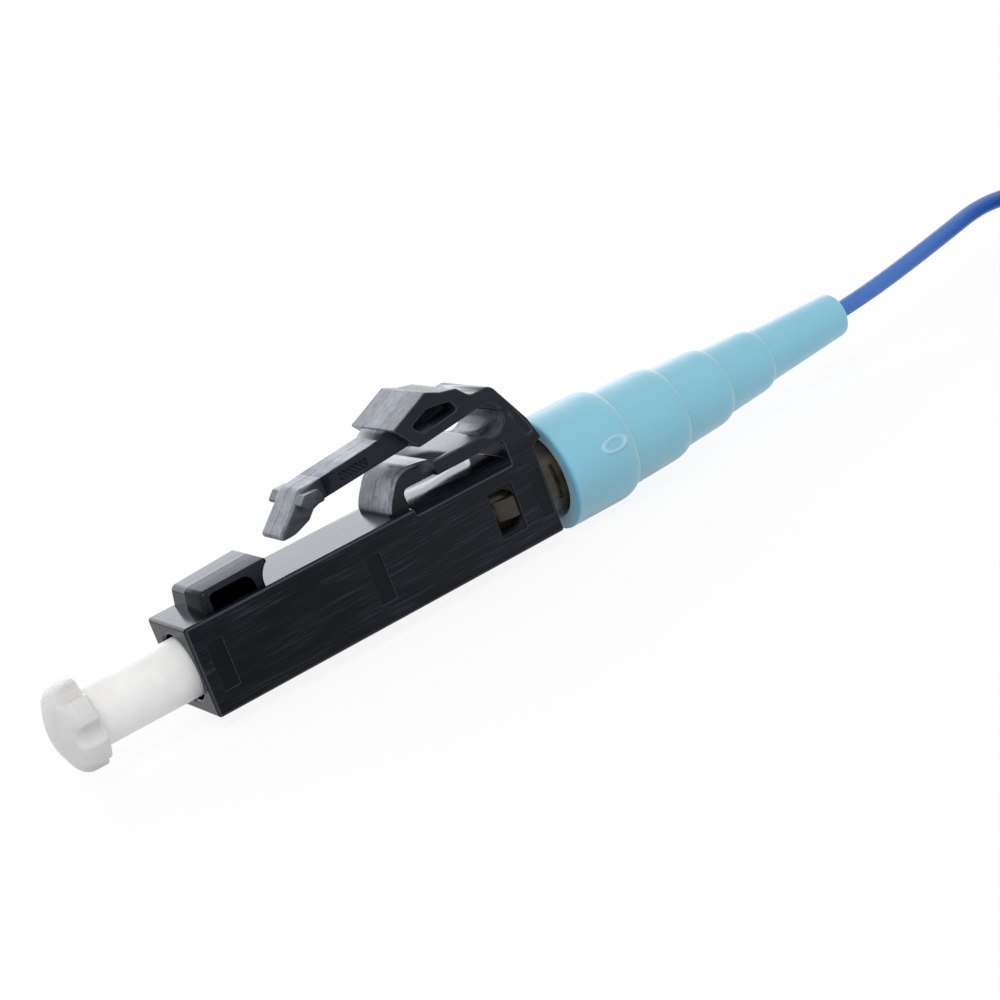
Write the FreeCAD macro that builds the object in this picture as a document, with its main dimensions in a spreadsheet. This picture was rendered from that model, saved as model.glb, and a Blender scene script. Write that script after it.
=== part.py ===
import FreeCAD, Part
import math
import os
import Sketcher
from FreeCAD import Placement, Rotation, Vector

# A duplex-pitch LC plug on a buffered fibre pigtail, with its dust cap on.
# Every piece is drawn in the plug's own axes: X runs along the fibre from the
# front face of the plug (0) to the cable, Y is sideways, and Z is up from the
# fibre axis to the latch. One placement then stands the plug on its boot, with
# the origin under the middle of the dust cap, plug and boot.

DIMENSIONS = {
    # how deep a raised feature is rooted, and how far a cutter overshoots
    "root_depth": 0.4,
    "overshoot": 0.3,
    # plug housing: a square bar with a guard block, an arch and a rear post
    "bar_half": 2.25,
    "bar_length": 19.55,
    "bar_edge_round": 0.18,
    "bar_face_bevel": 0.1,
    "bore_radius": 1.65,
    "bore_depth": 3.6,
    "bore_mouth": 0.12,
    "throat_radius": 0.95,
    "throat_end": 4.3,
    "chamber_radius": 1.75,
    "chamber_flare": 0.2,
    "chamber_flare_run": 0.4,
    "guard_half": 1.85,
    "guard_front": 1.3,
    "guard_front_top": 1.46,
    "guard_front_height": 3.27,
    "guard_back": 5.02,
    "guard_back_height": 3.4,
    "guard_lip": 0.2,
    "guard_waist": 4.56,
    "guard_waist_rise": 0.15,
    "guard_hollow_radius": 1.1,
    "guard_bevel": 0.12,
    "guard_pocket_start": 1.86,
    "guard_pocket_end": 4.06,
    "guard_pocket_top": 3.03,
    "guard_pocket_depth": 1.1,
    "guard_pocket_corner": 0.25,
    "guard_pocket_sweep": 0.5,
    "arch_half": 1.75,
    "arch_front": 11.56,
    "arch_foot_z": 2.45,
    "arch_leg_radius": 3.0,
    "arch_knee_x": 12.08,
    "arch_knee_z": 3.35,
    "arch_knee_radius": 1.35,
    "arch_crown_x": 13.58,
    "arch_crown_z": 4.03,
    "arch_crown_radius": 3.2,
    "arch_heel_z": 3.93,
    "arch_overlap": 1.1,
    "beam_start": 14.35,
    "beam_top": 3.85,
    "beam_bottom": 3.16,
    "gap_front": 12.6,
    "gap_front_round": 0.3,
    "gap_back": 18.15,
    "gap_back_round": 0.15,
    "gap_slope_inside": 1.5,
    "gap_slope_drop": 0.38,
    "relief_x": 17.85,
    "relief_z": 4.38,
    "relief_radius": 0.8,
    "relief_mouth": 0.6,
    "spine_top_x": 18.65,
    "spine_top_z": 5.64,
    "post_shoulder_x": 19.76,
    "post_shoulder_z": 3.62,
    "post_toe_x": 20.13,
    "post_toe_z": 2.49,
    "post_toe_fillet": 0.3,
    "post_toe_depth": 0.1,
    "post_slot_x": 18.87,
    "post_slot_z": 4.28,
    "post_slot_lean": 23.9,
    "post_slot_length": 1.53,
    "post_slot_width": 0.34,
    "slot_half": 1.2,
    "slot_length": 0.83,
    "slot_depth": 0.12,
    "front_slot": 0.7,
    "middle_slot": 9.33,
    "rear_slot": 18.74,
    "rear_slot_length": 0.68,
    "window_start": 16.33,
    "window_length": 1.44,
    "window_half": 1.23,
    "window_hole_start": 16.42,
    "window_hole_end": 17.76,
    "window_hole_half": 1.05,
    "window_hole_round": 0.7,
    "window_hole_depth": 1.0,
    # latch lever and the thin web that it bends about
    "web_low_angle": 10.0,
    "web_high_angle": 50.0,
    "spine_offset": 1.31,
    "arm_half": 1.15,
    "arm_heel_x": 14.2,
    "arm_heel_low": 4.78,
    "arm_heel_high": 6.3,
    "arm_ramp_top_x": 13.12,
    "arm_ramp_top_z": 6.1,
    "arm_ramp_foot_x": 12.6,
    "arm_ramp_foot_z": 5.7,
    "arm_front_x": 9.1,
    "arm_front_low": 4.38,
    "tip_top_x": 8.05,
    "tip_top_z": 5.26,
    "tip_nose_x": 6.27,
    "tip_nose_z": 3.62,
    "tip_nose_round": 0.18,
    "tip_sole_front": 6.42,
    "tip_sole_back": 7.15,
    "tip_sole_z": 3.41,
    "tip_heel_x": 8.0,
    "tip_heel_z": 3.7,
    "tip_heel_radius": 1.6,
    "tip_root_x": 8.4,
    "tip_root_z": 4.06,
    "tip_root_radius": 1.3,
    "ear_half": 1.88,
    "ear_nose_x": 7.5,
    "ear_nose_z": 4.7,
    "ear_front_x": 7.94,
    "ear_top_z": 5.12,
    "ear_back_x": 8.72,
    "ear_heel_x": 8.84,
    "ear_heel_z": 4.55,
    "ear_sole_x": 7.8,
    "ear_sole_z": 4.47,
    "ear_bevel": 0.28,
    "thumb_front_x": 13.0,
    "thumb_front_z": 6.05,
    "thumb_heel_x": 13.97,
    "thumb_heel_z": 4.75,
    "thumb_crest_x": 15.2,
    "thumb_crest_z": 7.03,
    "thumb_back_x": 15.95,
    "thumb_back_z": 6.7,
    "thumb_step_x": 16.78,
    "thumb_step_z": 6.52,
    "thumb_dip_x": 17.35,
    "thumb_dip_z": 5.92,
    "thumb_tail_x": 17.98,
    "thumb_tail_z": 5.9,
    "thumb_tail_radius": 0.6,
    "thumb_slot_angle": 96.2,
    "thumb_dip_round": 0.4,
    "thumb_crown_round": 0.5,
    "thumb_pocket_depth": 1.2,
    "thumb_pocket_round": 0.16,
    "thumb_pocket_nose_x": 13.92,
    "thumb_pocket_nose_z": 5.78,
    "thumb_pocket_low_x": 14.42,
    "thumb_pocket_low_z": 5.3,
    "thumb_pocket_back_x": 16.52,
    "thumb_pocket_back_z": 5.56,
    "thumb_pocket_hip_x": 16.25,
    "thumb_pocket_hip_z": 6.08,
    "thumb_pocket_top_x": 14.98,
    "thumb_pocket_top_z": 6.27,
    "grip_front": 10.14,
    "grip_back": 11.69,
    "grip_low": 4.75,
    "grip_high": 5.16,
    "grip_rise": 0.06,
    "grip_depth": 0.12,
    # ferrule, its flange and the spring behind it
    "ferrule_radius": 0.625,
    "ferrule_tip": -1.4,
    "ferrule_length": 6.5,
    "ferrule_chamfer": 0.15,
    "ferrule_funnel": 0.25,
    "ferrule_funnel_run": 0.3,
    "fibre_bore_radius": 0.075,
    "glass_radius": 0.0625,
    "flange_across": 2.7,
    "flange_end": 5.5,
    "sleeve_radius": 0.95,
    "sleeve_end": 8.0,
    "buffer_bore_radius": 0.47,
    "spring_radius": 1.24,
    "spring_wire_radius": 0.15,
    "spring_turns": 5.0,
    # smoky rear body that shuts the chamber
    "rear_front": 11.5,
    "rear_tube_radius": 1.68,
    "rear_tube_chamfer": 0.15,
    "collar_gap": 0.04,
    "collar_radius": 1.98,
    "collar_slot_start": 20.1,
    "collar_slot_width": 0.25,
    "collar_slot_half": 0.9,
    "collar_slot_depth": 0.35,
    "collar_end": 21.4,
    "stem_radius": 1.5,
    "stem_end": 26.0,
    "barb_height": 0.08,
    "barb_start": 23.2,
    "barb_length": 0.7,
    "liner_bore_radius": 0.72,
    "lug_reach": 2.1,
    "lug_half": 0.5,
    "lug_start": 16.66,
    "lug_crest": 17.38,
    "lug_end": 17.69,
    "liner_radius": 0.7,
    "liner_bore": 0.5,
    "liner_start": 13.0,
    "liner_end": 34.0,
    # boot: five stepped lengths
    "boot_front": 20.55,
    "boot_end": 39.75,
    "boot_ring": 2.93,
    "boot_ring_end": 24.6,
    "boot_second_end": 28.2,
    "boot_third_end": 31.3,
    "boot_fourth_end": 34.4,
    "boot_second": 2.53,
    "boot_third": 2.13,
    "boot_fourth": 1.76,
    "boot_fifth": 1.3,
    "boot_lip": 0.2,
    "boot_shoulder_run": 0.55,
    "boot_clearance": 0.05,
    "boot_mouth_radius": 2.25,
    "boot_mouth_depth": 0.95,
    "boot_exit_radius": 0.5,
    # dust cap
    "cap_stem_radius": 1.5,
    "cap_stem_end": 2.6,
    "cap_stem_chamfer": 0.2,
    "cap_neck": -4.98,
    "cap_band": -6.15,
    "cap_nose": -6.85,
    "cap_head_radius": 2.2,
    "cap_gate_radius": 0.35,
    "cap_dome_x": -6.65,
    "cap_dome_reach": 1.33,
    "cap_flute_radius": 0.6,
    "cap_flute_centre": 2.46,
    "cap_flute_angle": 108.0,
    "cap_flutes": 6.0,
    "cap_rim": 0.16,
    "cap_bore_radius": 0.64,
    "cap_bore_end": -1.75,
    # buffered fibre
    "cord_radius": 0.45,
    "flex_end": 13.0,
    # the fibre's coil: wound in rings, the outermost ring lower than the rest
    "coil_outer_radius": 7.5,
    "coil_rings": 4.0,
    "coil_turns_high": 8.0,
    "coil_outer_turns": 4.0,
    "coil_edge": 0.25,
    "coil_x": 59.2,
    "coil_y": -4.05,
}

CORD_LENGTH = 1000.0
CORD_BEND = 6.0

# Centre line of the loose fibre from the boot to the top of the coil's outer ring.
CORD_ROUTE = [
    (39.75, 0.0, 0.0),
    (42.6, 0.0, 0.0),
    (50.4, 1.7, 1.2),
    (55.6, 3.0, 0.22),
    (59.2, 3.0, 0.22),
]


# Slack when edges are picked by where they lie.
NEAR = 0.01


class Size:
    """A length with the sheet formula that gives it, so sums keep both."""

    def __init__(self, value, text):
        self.value = value
        self.text = text

    def __add__(self, other):
        return Size(self.value + number(other), f"({self.text} + {formula(other)})")

    def __radd__(self, other):
        return self + other

    def __sub__(self, other):
        return Size(self.value - number(other), f"({self.text} - {formula(other)})")

    def __rsub__(self, other):
        return Size(number(other) - self.value, f"({formula(other)} - {self.text})")

    def __mul__(self, other):
        return Size(self.value * number(other), f"({self.text} * {formula(other)})")

    def __rmul__(self, other):
        return self * other

    def __truediv__(self, other):
        return Size(self.value / number(other), f"({self.text} / {formula(other)})")

    def __neg__(self):
        return Size(-self.value, f"(-{self.text})")


def number(item):
    return item.value if isinstance(item, Size) else float(item)


def formula(item):
    return item.text if isinstance(item, Size) else f"{float(item):.6g}"


def sine(degrees):
    return Size(math.sin(math.radians(degrees.value)), f"sin({degrees.text} * 1 deg)")


def cosine(degrees):
    return Size(math.cos(math.radians(degrees.value)), f"cos({degrees.text} * 1 deg)")


class Sheet:
    """The spreadsheet of driving dimensions; an attribute gives one as a Size."""

    def __init__(self, doc):
        self.cells = doc.addObject("Spreadsheet::Sheet", "Sizes")
        for row, (alias, value) in enumerate(DIMENSIONS.items(), start=1):
            self.cells.set(f"A{row}", alias)
            self.cells.set(f"B{row}", str(value))
            self.cells.setAlias(f"B{row}", alias)
        doc.recompute()

    def __getattr__(self, alias):
        return Size(float(self.cells.get(alias)), f"Sizes.{alias}")


def bind(item, prop, size):
    item.setExpression(prop, formula(size))


# ---- sketches ------------------------------------------------------------


def origin_item(body, role):
    """One of the body's own origin planes or axes."""
    return next(item for item in body.Origin.OriginFeatures if item.Role == role)


def sketch_on(body, role, name, offset=None):
    """A sketch on one of the body's own origin planes, moved along its normal."""
    sketch = body.newObject("Sketcher::SketchObject", name)
    sketch.AttachmentSupport = [(origin_item(body, role), "")]
    sketch.MapMode = "FlatFace"
    if offset is not None:
        bind(sketch, "AttachmentOffset.Base.z", offset)
    return sketch


def arc_centre(start, end, radius):
    """Centre to the left of the way from start to end, or right if negative."""
    middle = (start + end) * 0.5
    way = end - start
    left = Vector(-way.y, way.x, 0).normalize()
    rise = math.sqrt(radius * radius - way.Length * way.Length / 4)
    return middle + left * math.copysign(rise, radius)


def draw_outline(sketch, corners):
    """Draw a closed outline. A corner is (x, y), or (x, y, r) where the side
    that leads to it is an arc of radius r, turning left when r is positive."""
    points = [Vector(number(c[0]), number(c[1]), 0) for c in corners]
    ends = []
    limits = []
    for index, corner in enumerate(corners):
        start, end = points[index - 1], points[index]
        if len(corner) < 3:
            side = sketch.addGeometry(Part.LineSegment(start, end))
            ends.append((side, 1, 2))
            continue
        radius = number(corner[2])
        centre = arc_centre(start, end, radius)
        first, last = (start, end) if radius > 0 else (end, start)
        low = math.atan2(first.y - centre.y, first.x - centre.x)
        high = math.atan2(last.y - centre.y, last.x - centre.x)
        if high < low:
            high += 2 * math.pi
        circle = Part.Circle(centre, Vector(0, 0, 1), abs(radius))
        side = sketch.addGeometry(Part.ArcOfCircle(circle, low, high))
        ends.append((side, 1, 2) if radius > 0 else (side, 2, 1))
        limits.append(("Radius", side, corner[2] if radius > 0 else -corner[2]))
    for index, (side, _, finish) in enumerate(ends):
        following, start, _ = ends[(index + 1) % len(ends)]
        sketch.addConstraint(
            Sketcher.Constraint("Coincident", side, finish, following, start))
    for corner, (side, _, finish) in zip(corners, ends):
        pin(sketch, "DistanceX", side, finish, corner[0], -2)
        pin(sketch, "DistanceY", side, finish, corner[1], -1)
    for kind, side, size in limits:
        made = sketch.addConstraint(Sketcher.Constraint(kind, side, number(size)))
        bind(sketch, f"Constraints[{made}]", size)


def pin(sketch, kind, side, end, size, axis):
    """Hold a point at a distance from the origin, or on the axis itself."""
    if abs(number(size)) < 1e-9:
        sketch.addConstraint(Sketcher.Constraint("PointOnObject", side, end, axis))
        return
    made = sketch.addConstraint(
        Sketcher.Constraint(kind, -1, 1, side, end, number(size)))
    bind(sketch, f"Constraints[{made}]", size)


def draw_circle(sketch, radius, x=0.0, y=0.0):
    centre = Vector(number(x), number(y), 0)
    ring = sketch.addGeometry(Part.Circle(centre, Vector(0, 0, 1), number(radius)))
    pin(sketch, "DistanceX", ring, 3, x, -2)
    pin(sketch, "DistanceY", ring, 3, y, -1)
    made = sketch.addConstraint(Sketcher.Constraint("Radius", ring, number(radius)))
    bind(sketch, f"Constraints[{made}]", radius)


def box_corners(left, right, low, high):
    return [(left, low), (right, low), (right, high), (left, high)]


def ring_corners(count, reach, x=0.0, y=0.0):
    """The corners of a regular polygon about a point, anticlockwise."""
    corners = []
    for step in range(count):
        turn = 2 * math.pi * step / count
        corners.append((x + reach * round(math.cos(turn), 9), y + reach * round(math.sin(turn), 9)))
    return corners


# ---- features ------------------------------------------------------------


def new_body(doc, name):
    body = doc.addObject("PartDesign::Body", name)
    body.Label = name
    return body


def pad_across(body, name, corners, half):
    """Pad a side outline evenly to both sides of the middle plane."""
    sketch = sketch_on(body, "XZ_Plane", name + "_outline")
    draw_outline(sketch, corners)
    pad = body.newObject("PartDesign::Pad", name)
    pad.Profile = sketch
    pad.SideType = "Symmetric"
    bind(pad, "Length", half * 2)
    return pad


def mirror_across(doc, body, feature):
    """Repeat a feature on the other side of the plug's middle plane."""
    doc.recompute()
    twin = body.newObject("PartDesign::Mirrored", feature.Name + "_twin")
    twin.Originals = [feature]
    twin.MirrorPlane = (origin_item(body, "XZ_Plane"), [""])
    body.Tip = twin
    return twin


def cut_side(doc, body, name, corners, face, depth, mirrored=True):
    """Cut a pocket into the near side face, and its twin into the far one."""
    sketch = sketch_on(body, "XZ_Plane", name + "_outline", face)
    draw_outline(sketch, corners)
    pocket = body.newObject("PartDesign::Pocket", name)
    pocket.Profile = sketch
    bind(pocket, "Length", depth)
    return mirror_across(doc, body, pocket) if mirrored else pocket


def turned(body, kind, name, corners):
    """Revolve a half profile (x along the axis, y as radius) about the fibre axis."""
    sketch = sketch_on(body, "XZ_Plane", name + "_profile")
    draw_outline(sketch, corners)
    turn = body.newObject(kind, name)
    turn.Profile = sketch
    turn.ReferenceAxis = (sketch, ["H_Axis"])
    turn.Angle = 360
    return turn


def dress_edges(doc, body, kind, name, picked):
    """Add a dress-up of the body's last feature on the edges for which picked(edge) holds."""
    doc.recompute()
    base = body.Tip
    edges = [f"Edge{i}" for i, edge in enumerate(base.Shape.Edges, start=1)
             if not edge.Degenerated and picked(edge)]
    dressed = body.newObject(kind, name)
    dressed.Base = (base, edges)
    return dressed


def round_edges(doc, body, name, radius, picked):
    bind(dress_edges(doc, body, "PartDesign::Fillet", name, picked), "Radius", radius)


def bevel_edges(doc, body, name, size, picked):
    bind(dress_edges(doc, body, "PartDesign::Chamfer", name, picked), "Size", size)


def ends_of(edge):
    return edge.Vertexes[0].Point, edge.Vertexes[-1].Point


def runs_along(edge, axis):
    """Whether a straight edge is parallel to an axis, given as a letter."""
    if edge.Curve.TypeId != "Part::GeomLine":
        return False
    first, last = ends_of(edge)
    way = last - first
    others = [getattr(way, letter) for letter in "xyz" if letter != axis]
    return max(abs(value) for value in others) < 1e-4


def lies_at(edge, axis, value):
    """Whether both ends of an edge are at one value of an axis."""
    return all(abs(getattr(point, axis) - value) < 1e-4 for point in ends_of(edge))


def spans(edge, first, last):
    """Whether an edge along Y reaches from one distance off the middle plane to another."""
    reach = sorted(abs(point.y) for point in ends_of(edge))
    return abs(reach[0] - min(first, last)) < 1e-4 and abs(reach[1] - max(first, last)) < 1e-4


# ---- plug housing ---------------------------------------------------------


def spine_point(sizes, angle):
    """Where a ray from the relief hole meets the slanted back of the post."""
    run = sizes.post_shoulder_x - sizes.spine_top_x
    drop = sizes.spine_top_z - sizes.post_shoulder_z
    length = math.hypot(number(run), number(drop))
    lean = cosine(angle) * (number(drop) / length) + sine(angle) * (number(run) / length)
    reach = sizes.spine_offset / lean
    return (sizes.relief_x + reach * cosine(angle), sizes.relief_z + reach * sine(angle))


def relief_point(sizes, angle):
    return (sizes.relief_x + sizes.relief_radius * cosine(angle),
            sizes.relief_z + sizes.relief_radius * sine(angle))


def make_plug_housing(doc, sizes):
    """The square bar with all that is moulded on it and cut into it."""
    body = new_body(doc, "plug_housing")
    add_bar(doc, body, sizes)
    add_guard_block(doc, body, sizes)
    add_arch_and_post(body, sizes)
    slope_gap_floor(doc, body, sizes)
    cut_side_recesses(doc, body, sizes)
    cut_windows(doc, body, sizes)
    bore_through(body, sizes)
    return body


def add_bar(doc, body, sizes):
    half = sizes.bar_half
    section = sketch_on(body, "YZ_Plane", "bar_section")
    draw_outline(section, box_corners(-half, half, -half, half))
    bar = body.newObject("PartDesign::Pad", "bar")
    bar.Profile = section
    bind(bar, "Length", sizes.bar_length)
    round_edges(doc, body, "bar_long_edges", sizes.bar_edge_round,
                lambda edge: runs_along(edge, "x"))
    bevel_edges(doc, body, "bar_front_edges", sizes.bar_face_bevel,
                lambda edge: lies_at(edge, "x", 0.0))


def add_guard_block(doc, body, sizes):
    half = sizes.bar_half
    sunk = half - sizes.root_depth
    pad_across(body, "guard_block", [
        (sizes.guard_front, sunk),
        (sizes.guard_waist, sunk),
        (sizes.guard_waist, half + sizes.guard_waist_rise),
        (sizes.guard_back, sizes.guard_back_height - sizes.guard_lip, -sizes.guard_hollow_radius),
        (sizes.guard_back, sizes.guard_back_height),
        (sizes.guard_front_top, sizes.guard_front_height),
        (sizes.guard_front, half),
    ], sizes.guard_half)
    bevel_edges(doc, body, "guard_edges", sizes.guard_bevel, lambda edge: guard_edge(edge, sizes))
    start, end, top = sizes.guard_pocket_start, sizes.guard_pocket_end, sizes.guard_pocket_top
    corner, sweep = sizes.guard_pocket_corner, sizes.guard_pocket_sweep
    cut_side(doc, body, "guard_pocket", [
        (start, half),
        (end, half),
        (end, top - sweep),
        (end - sweep, top, sweep),
        (start + corner, top),
        (start, top - corner, corner),
    ], sizes.guard_half, sizes.guard_pocket_depth)


def guard_edge(edge, sizes):
    """The edges of the guard block that start at its front corners."""
    front, half = number(sizes.guard_front_top), number(sizes.guard_half)
    foot = number(sizes.bar_half)
    box = edge.BoundBox
    return (box.XMin < front + NEAR and box.ZMax > foot + number(sizes.overshoot)
            and box.ZMin > foot - NEAR and abs(box.YMax) < half + NEAR)


def add_arch_and_post(body, sizes):
    """The arch that bridges the bar, and the post that carries the latch."""
    half = sizes.bar_half
    sunk = half - sizes.root_depth
    low, top = sizes.beam_bottom, sizes.beam_top
    overlap = sizes.beam_start + sizes.arch_overlap
    pad_across(body, "arch", [
        (sizes.arch_front, sunk),
        (sizes.gap_front, sunk),
        (sizes.gap_front, low - sizes.gap_front_round),
        (sizes.gap_front + sizes.gap_front_round, low, -sizes.gap_front_round),
        (overlap, low),
        (overlap, top),
        (sizes.beam_start, sizes.arch_heel_z),
        (sizes.arch_crown_x, sizes.arch_crown_z, sizes.arch_crown_radius),
        (sizes.arch_knee_x, sizes.arch_knee_z, sizes.arch_knee_radius),
        (sizes.arch_front, sizes.arch_foot_z, sizes.arch_leg_radius),
    ], sizes.arch_half)
    angle = sizes.web_low_angle
    toe, fillet, depth = sizes.post_toe_z, sizes.post_toe_fillet, sizes.post_toe_depth
    pad_across(body, "rear_post", [
        (sizes.beam_start, low),
        (sizes.gap_back - sizes.gap_back_round, low),
        (sizes.gap_back, low - sizes.gap_back_round, -sizes.gap_back_round),
        (sizes.gap_back, sunk),
        (sizes.bar_length, sunk),
        (sizes.bar_length, toe - depth - fillet),
        (sizes.bar_length + fillet, toe - depth, -fillet),
        (sizes.post_toe_x, toe),
        (sizes.post_shoulder_x, sizes.post_shoulder_z),
        spine_point(sizes, angle),
        relief_point(sizes, angle),
        (sizes.relief_x, sizes.relief_z - sizes.relief_radius, -sizes.relief_radius),
        (sizes.relief_x - sizes.relief_mouth, top, -sizes.relief_radius),
        (sizes.beam_start, top),
    ], half)


def slope_gap_floor(doc, body, sizes):
    """Under the beam the top edges of the bar slope away to both sides."""
    half, over, inside = sizes.bar_half, sizes.overshoot, sizes.gap_slope_inside
    reach = half + over
    fall = (half - inside) / (reach - inside)
    slope = sketch_on(body, "YZ_Plane", "gap_slope_outline", sizes.gap_front)
    draw_outline(slope, [
        (-inside, half),
        (-reach, half - sizes.gap_slope_drop / fall),
        (-reach, half + over),
        (-inside, half + over),
    ])
    cut = body.newObject("PartDesign::Pocket", "gap_slope")
    cut.Profile = slope
    cut.Reversed = True
    bind(cut, "Length", sizes.gap_back - sizes.gap_front)
    mirror_across(doc, body, cut)


def cut_side_recesses(doc, body, sizes):
    """Shallow panels along the sides; the foremost is on the near side only."""
    high = sizes.slot_half
    for name, front, length, mirrored in (
            ("front_slot", sizes.front_slot, sizes.slot_length, False),
            ("middle_slot", sizes.middle_slot, sizes.slot_length, True),
            ("rear_slot", sizes.rear_slot, sizes.rear_slot_length, True)):
        cut_side(doc, body, name, box_corners(front, front + length, -high, high),
                 sizes.bar_half, sizes.slot_depth, mirrored)
    lean = sizes.post_slot_lean
    along = (sizes.post_slot_length * sine(lean), -sizes.post_slot_length * cosine(lean))
    across = (sizes.post_slot_width * cosine(lean), sizes.post_slot_width * sine(lean))
    x, z = sizes.post_slot_x, sizes.post_slot_z
    cut_side(doc, body, "post_slot", [
        (x, z),
        (x + along[0], z + along[1]),
        (x + along[0] + across[0], z + along[1] + across[1]),
        (x + across[0], z + across[1]),
    ], sizes.bar_half, sizes.slot_depth)


def cut_windows(doc, body, sizes):
    """A sunk frame on each side, with the hole that the rear body snaps into."""
    high = sizes.window_half
    cut_side(doc, body, "window_frame",
             box_corners(sizes.window_start, sizes.window_start + sizes.window_length,
                         -high, high), sizes.bar_half, sizes.slot_depth)
    high, corner, end = sizes.window_hole_half, sizes.window_hole_round, sizes.window_hole_end
    cut_side(doc, body, "window_hole", [
        (sizes.window_hole_start, -high),
        (end - corner, -high),
        (end, corner - high, corner),
        (end, high - corner),
        (end - corner, high, corner),
        (sizes.window_hole_start, high),
    ], sizes.bar_half, sizes.window_hole_depth)


def bore_through(body, sizes):
    """The nose bore, the throat that stops the ferrule and the spring chamber."""
    bore, throat, chamber = sizes.bore_radius, sizes.throat_radius, sizes.chamber_radius
    back = sizes.post_toe_x + sizes.overshoot
    turned(body, "PartDesign::Groove", "fibre_way", [
        (-sizes.overshoot, 0.0),
        (back, 0.0),
        (back, chamber + sizes.chamber_flare),
        (sizes.bar_length, chamber + sizes.chamber_flare),
        (sizes.bar_length - sizes.chamber_flare_run, chamber),
        (sizes.throat_end, chamber),
        (sizes.throat_end, throat),
        (sizes.bore_depth, throat),
        (sizes.bore_depth, bore),
        (sizes.bore_mouth, bore),
        (0.0, bore + sizes.bore_mouth),
        (-sizes.overshoot, bore + sizes.bore_mouth),
    ])


# ---- latch ----------------------------------------------------------------


def make_latch_lever(doc, sizes):
    """A thumb block on the web, and an arm that ends in a wedge with two ears."""
    body = new_body(doc, "latch_lever")
    pad_across(body, "arm", [
        (sizes.arm_heel_x, sizes.arm_heel_low),
        (sizes.arm_heel_x, sizes.arm_heel_high),
        (sizes.arm_ramp_top_x, sizes.arm_ramp_top_z),
        (sizes.arm_ramp_foot_x, sizes.arm_ramp_foot_z),
        (sizes.tip_top_x, sizes.tip_top_z),
        (sizes.tip_nose_x, sizes.tip_nose_z),
        (sizes.tip_sole_front, sizes.tip_sole_z, sizes.tip_nose_round),
        (sizes.tip_sole_back, sizes.tip_sole_z),
        (sizes.tip_heel_x, sizes.tip_heel_z, sizes.tip_heel_radius),
        (sizes.tip_root_x, sizes.tip_root_z),
        (sizes.arm_front_x, sizes.arm_front_low, -sizes.tip_root_radius),
    ], sizes.arm_half)
    pad_across(body, "ears", [
        (sizes.ear_front_x, sizes.ear_top_z),
        (sizes.ear_nose_x, sizes.ear_nose_z),
        (sizes.ear_sole_x, sizes.ear_sole_z),
        (sizes.ear_back_x, sizes.ear_sole_z),
        (sizes.ear_heel_x, sizes.ear_heel_z),
        (sizes.ear_back_x, sizes.ear_top_z),
    ], sizes.ear_half)
    near, front = number(sizes.ear_half), number(sizes.ear_front_x)
    bevel_edges(doc, body, "ear_bevels", sizes.ear_bevel,
                lambda edge: edge.BoundBox.XMax < front + NEAR
                and all(abs(abs(point.y) - near) < 1e-4 for point in ends_of(edge)))
    pad_across(body, "thumb_block", [
        (sizes.thumb_heel_x, sizes.thumb_heel_z),
        relief_point(sizes, sizes.thumb_slot_angle),
        (*relief_point(sizes, sizes.web_high_angle), -sizes.relief_radius),
        spine_point(sizes, sizes.web_high_angle),
        (sizes.spine_top_x, sizes.spine_top_z),
        (sizes.thumb_tail_x, sizes.thumb_tail_z, sizes.thumb_tail_radius),
        (sizes.thumb_dip_x, sizes.thumb_dip_z),
        (sizes.thumb_step_x, sizes.thumb_step_z),
        (sizes.thumb_back_x, sizes.thumb_back_z),
        (sizes.thumb_crest_x, sizes.thumb_crest_z),
        (sizes.thumb_front_x, sizes.thumb_front_z),
    ], sizes.bar_half)
    dip, crown = number(sizes.thumb_dip_x), number(sizes.thumb_tail_x)
    round_edges(doc, body, "thumb_dip_round", sizes.thumb_dip_round,
                lambda edge: runs_along(edge, "y") and lies_at(edge, "x", dip))
    round_edges(doc, body, "thumb_crown_round", sizes.thumb_crown_round,
                lambda edge: runs_along(edge, "y") and lies_at(edge, "x", crown))
    cut_side(doc, body, "thumb_pocket", [
        (sizes.thumb_pocket_nose_x, sizes.thumb_pocket_nose_z),
        (sizes.thumb_pocket_low_x, sizes.thumb_pocket_low_z),
        (sizes.thumb_pocket_back_x, sizes.thumb_pocket_back_z),
        (sizes.thumb_pocket_hip_x, sizes.thumb_pocket_hip_z),
        (sizes.thumb_pocket_top_x, sizes.thumb_pocket_top_z),
    ], sizes.bar_half, sizes.thumb_pocket_depth)
    near, deep = number(sizes.bar_half), number(sizes.bar_half - sizes.thumb_pocket_depth)
    round_edges(doc, body, "thumb_pocket_corners", sizes.thumb_pocket_round,
                lambda edge: runs_along(edge, "y") and spans(edge, near, deep))
    rise = sizes.grip_rise
    cut_side(doc, body, "grip_recess", [
        (sizes.grip_front, sizes.grip_low),
        (sizes.grip_back, sizes.grip_low + rise),
        (sizes.grip_back, sizes.grip_high + rise),
        (sizes.grip_front, sizes.grip_high),
    ], sizes.arm_half, sizes.grip_depth)
    return body


def make_latch_hinge(doc, sizes):
    """The thin web between the relief hole and the slanted back of the post."""
    body = new_body(doc, "latch_hinge")
    low, high = sizes.web_low_angle, sizes.web_high_angle
    pad_across(body, "web", [
        spine_point(sizes, low),
        spine_point(sizes, high),
        relief_point(sizes, high),
        (*relief_point(sizes, low), -sizes.relief_radius),
    ], sizes.bar_half)
    return body


# ---- ferrule and spring -----------------------------------------------------


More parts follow.
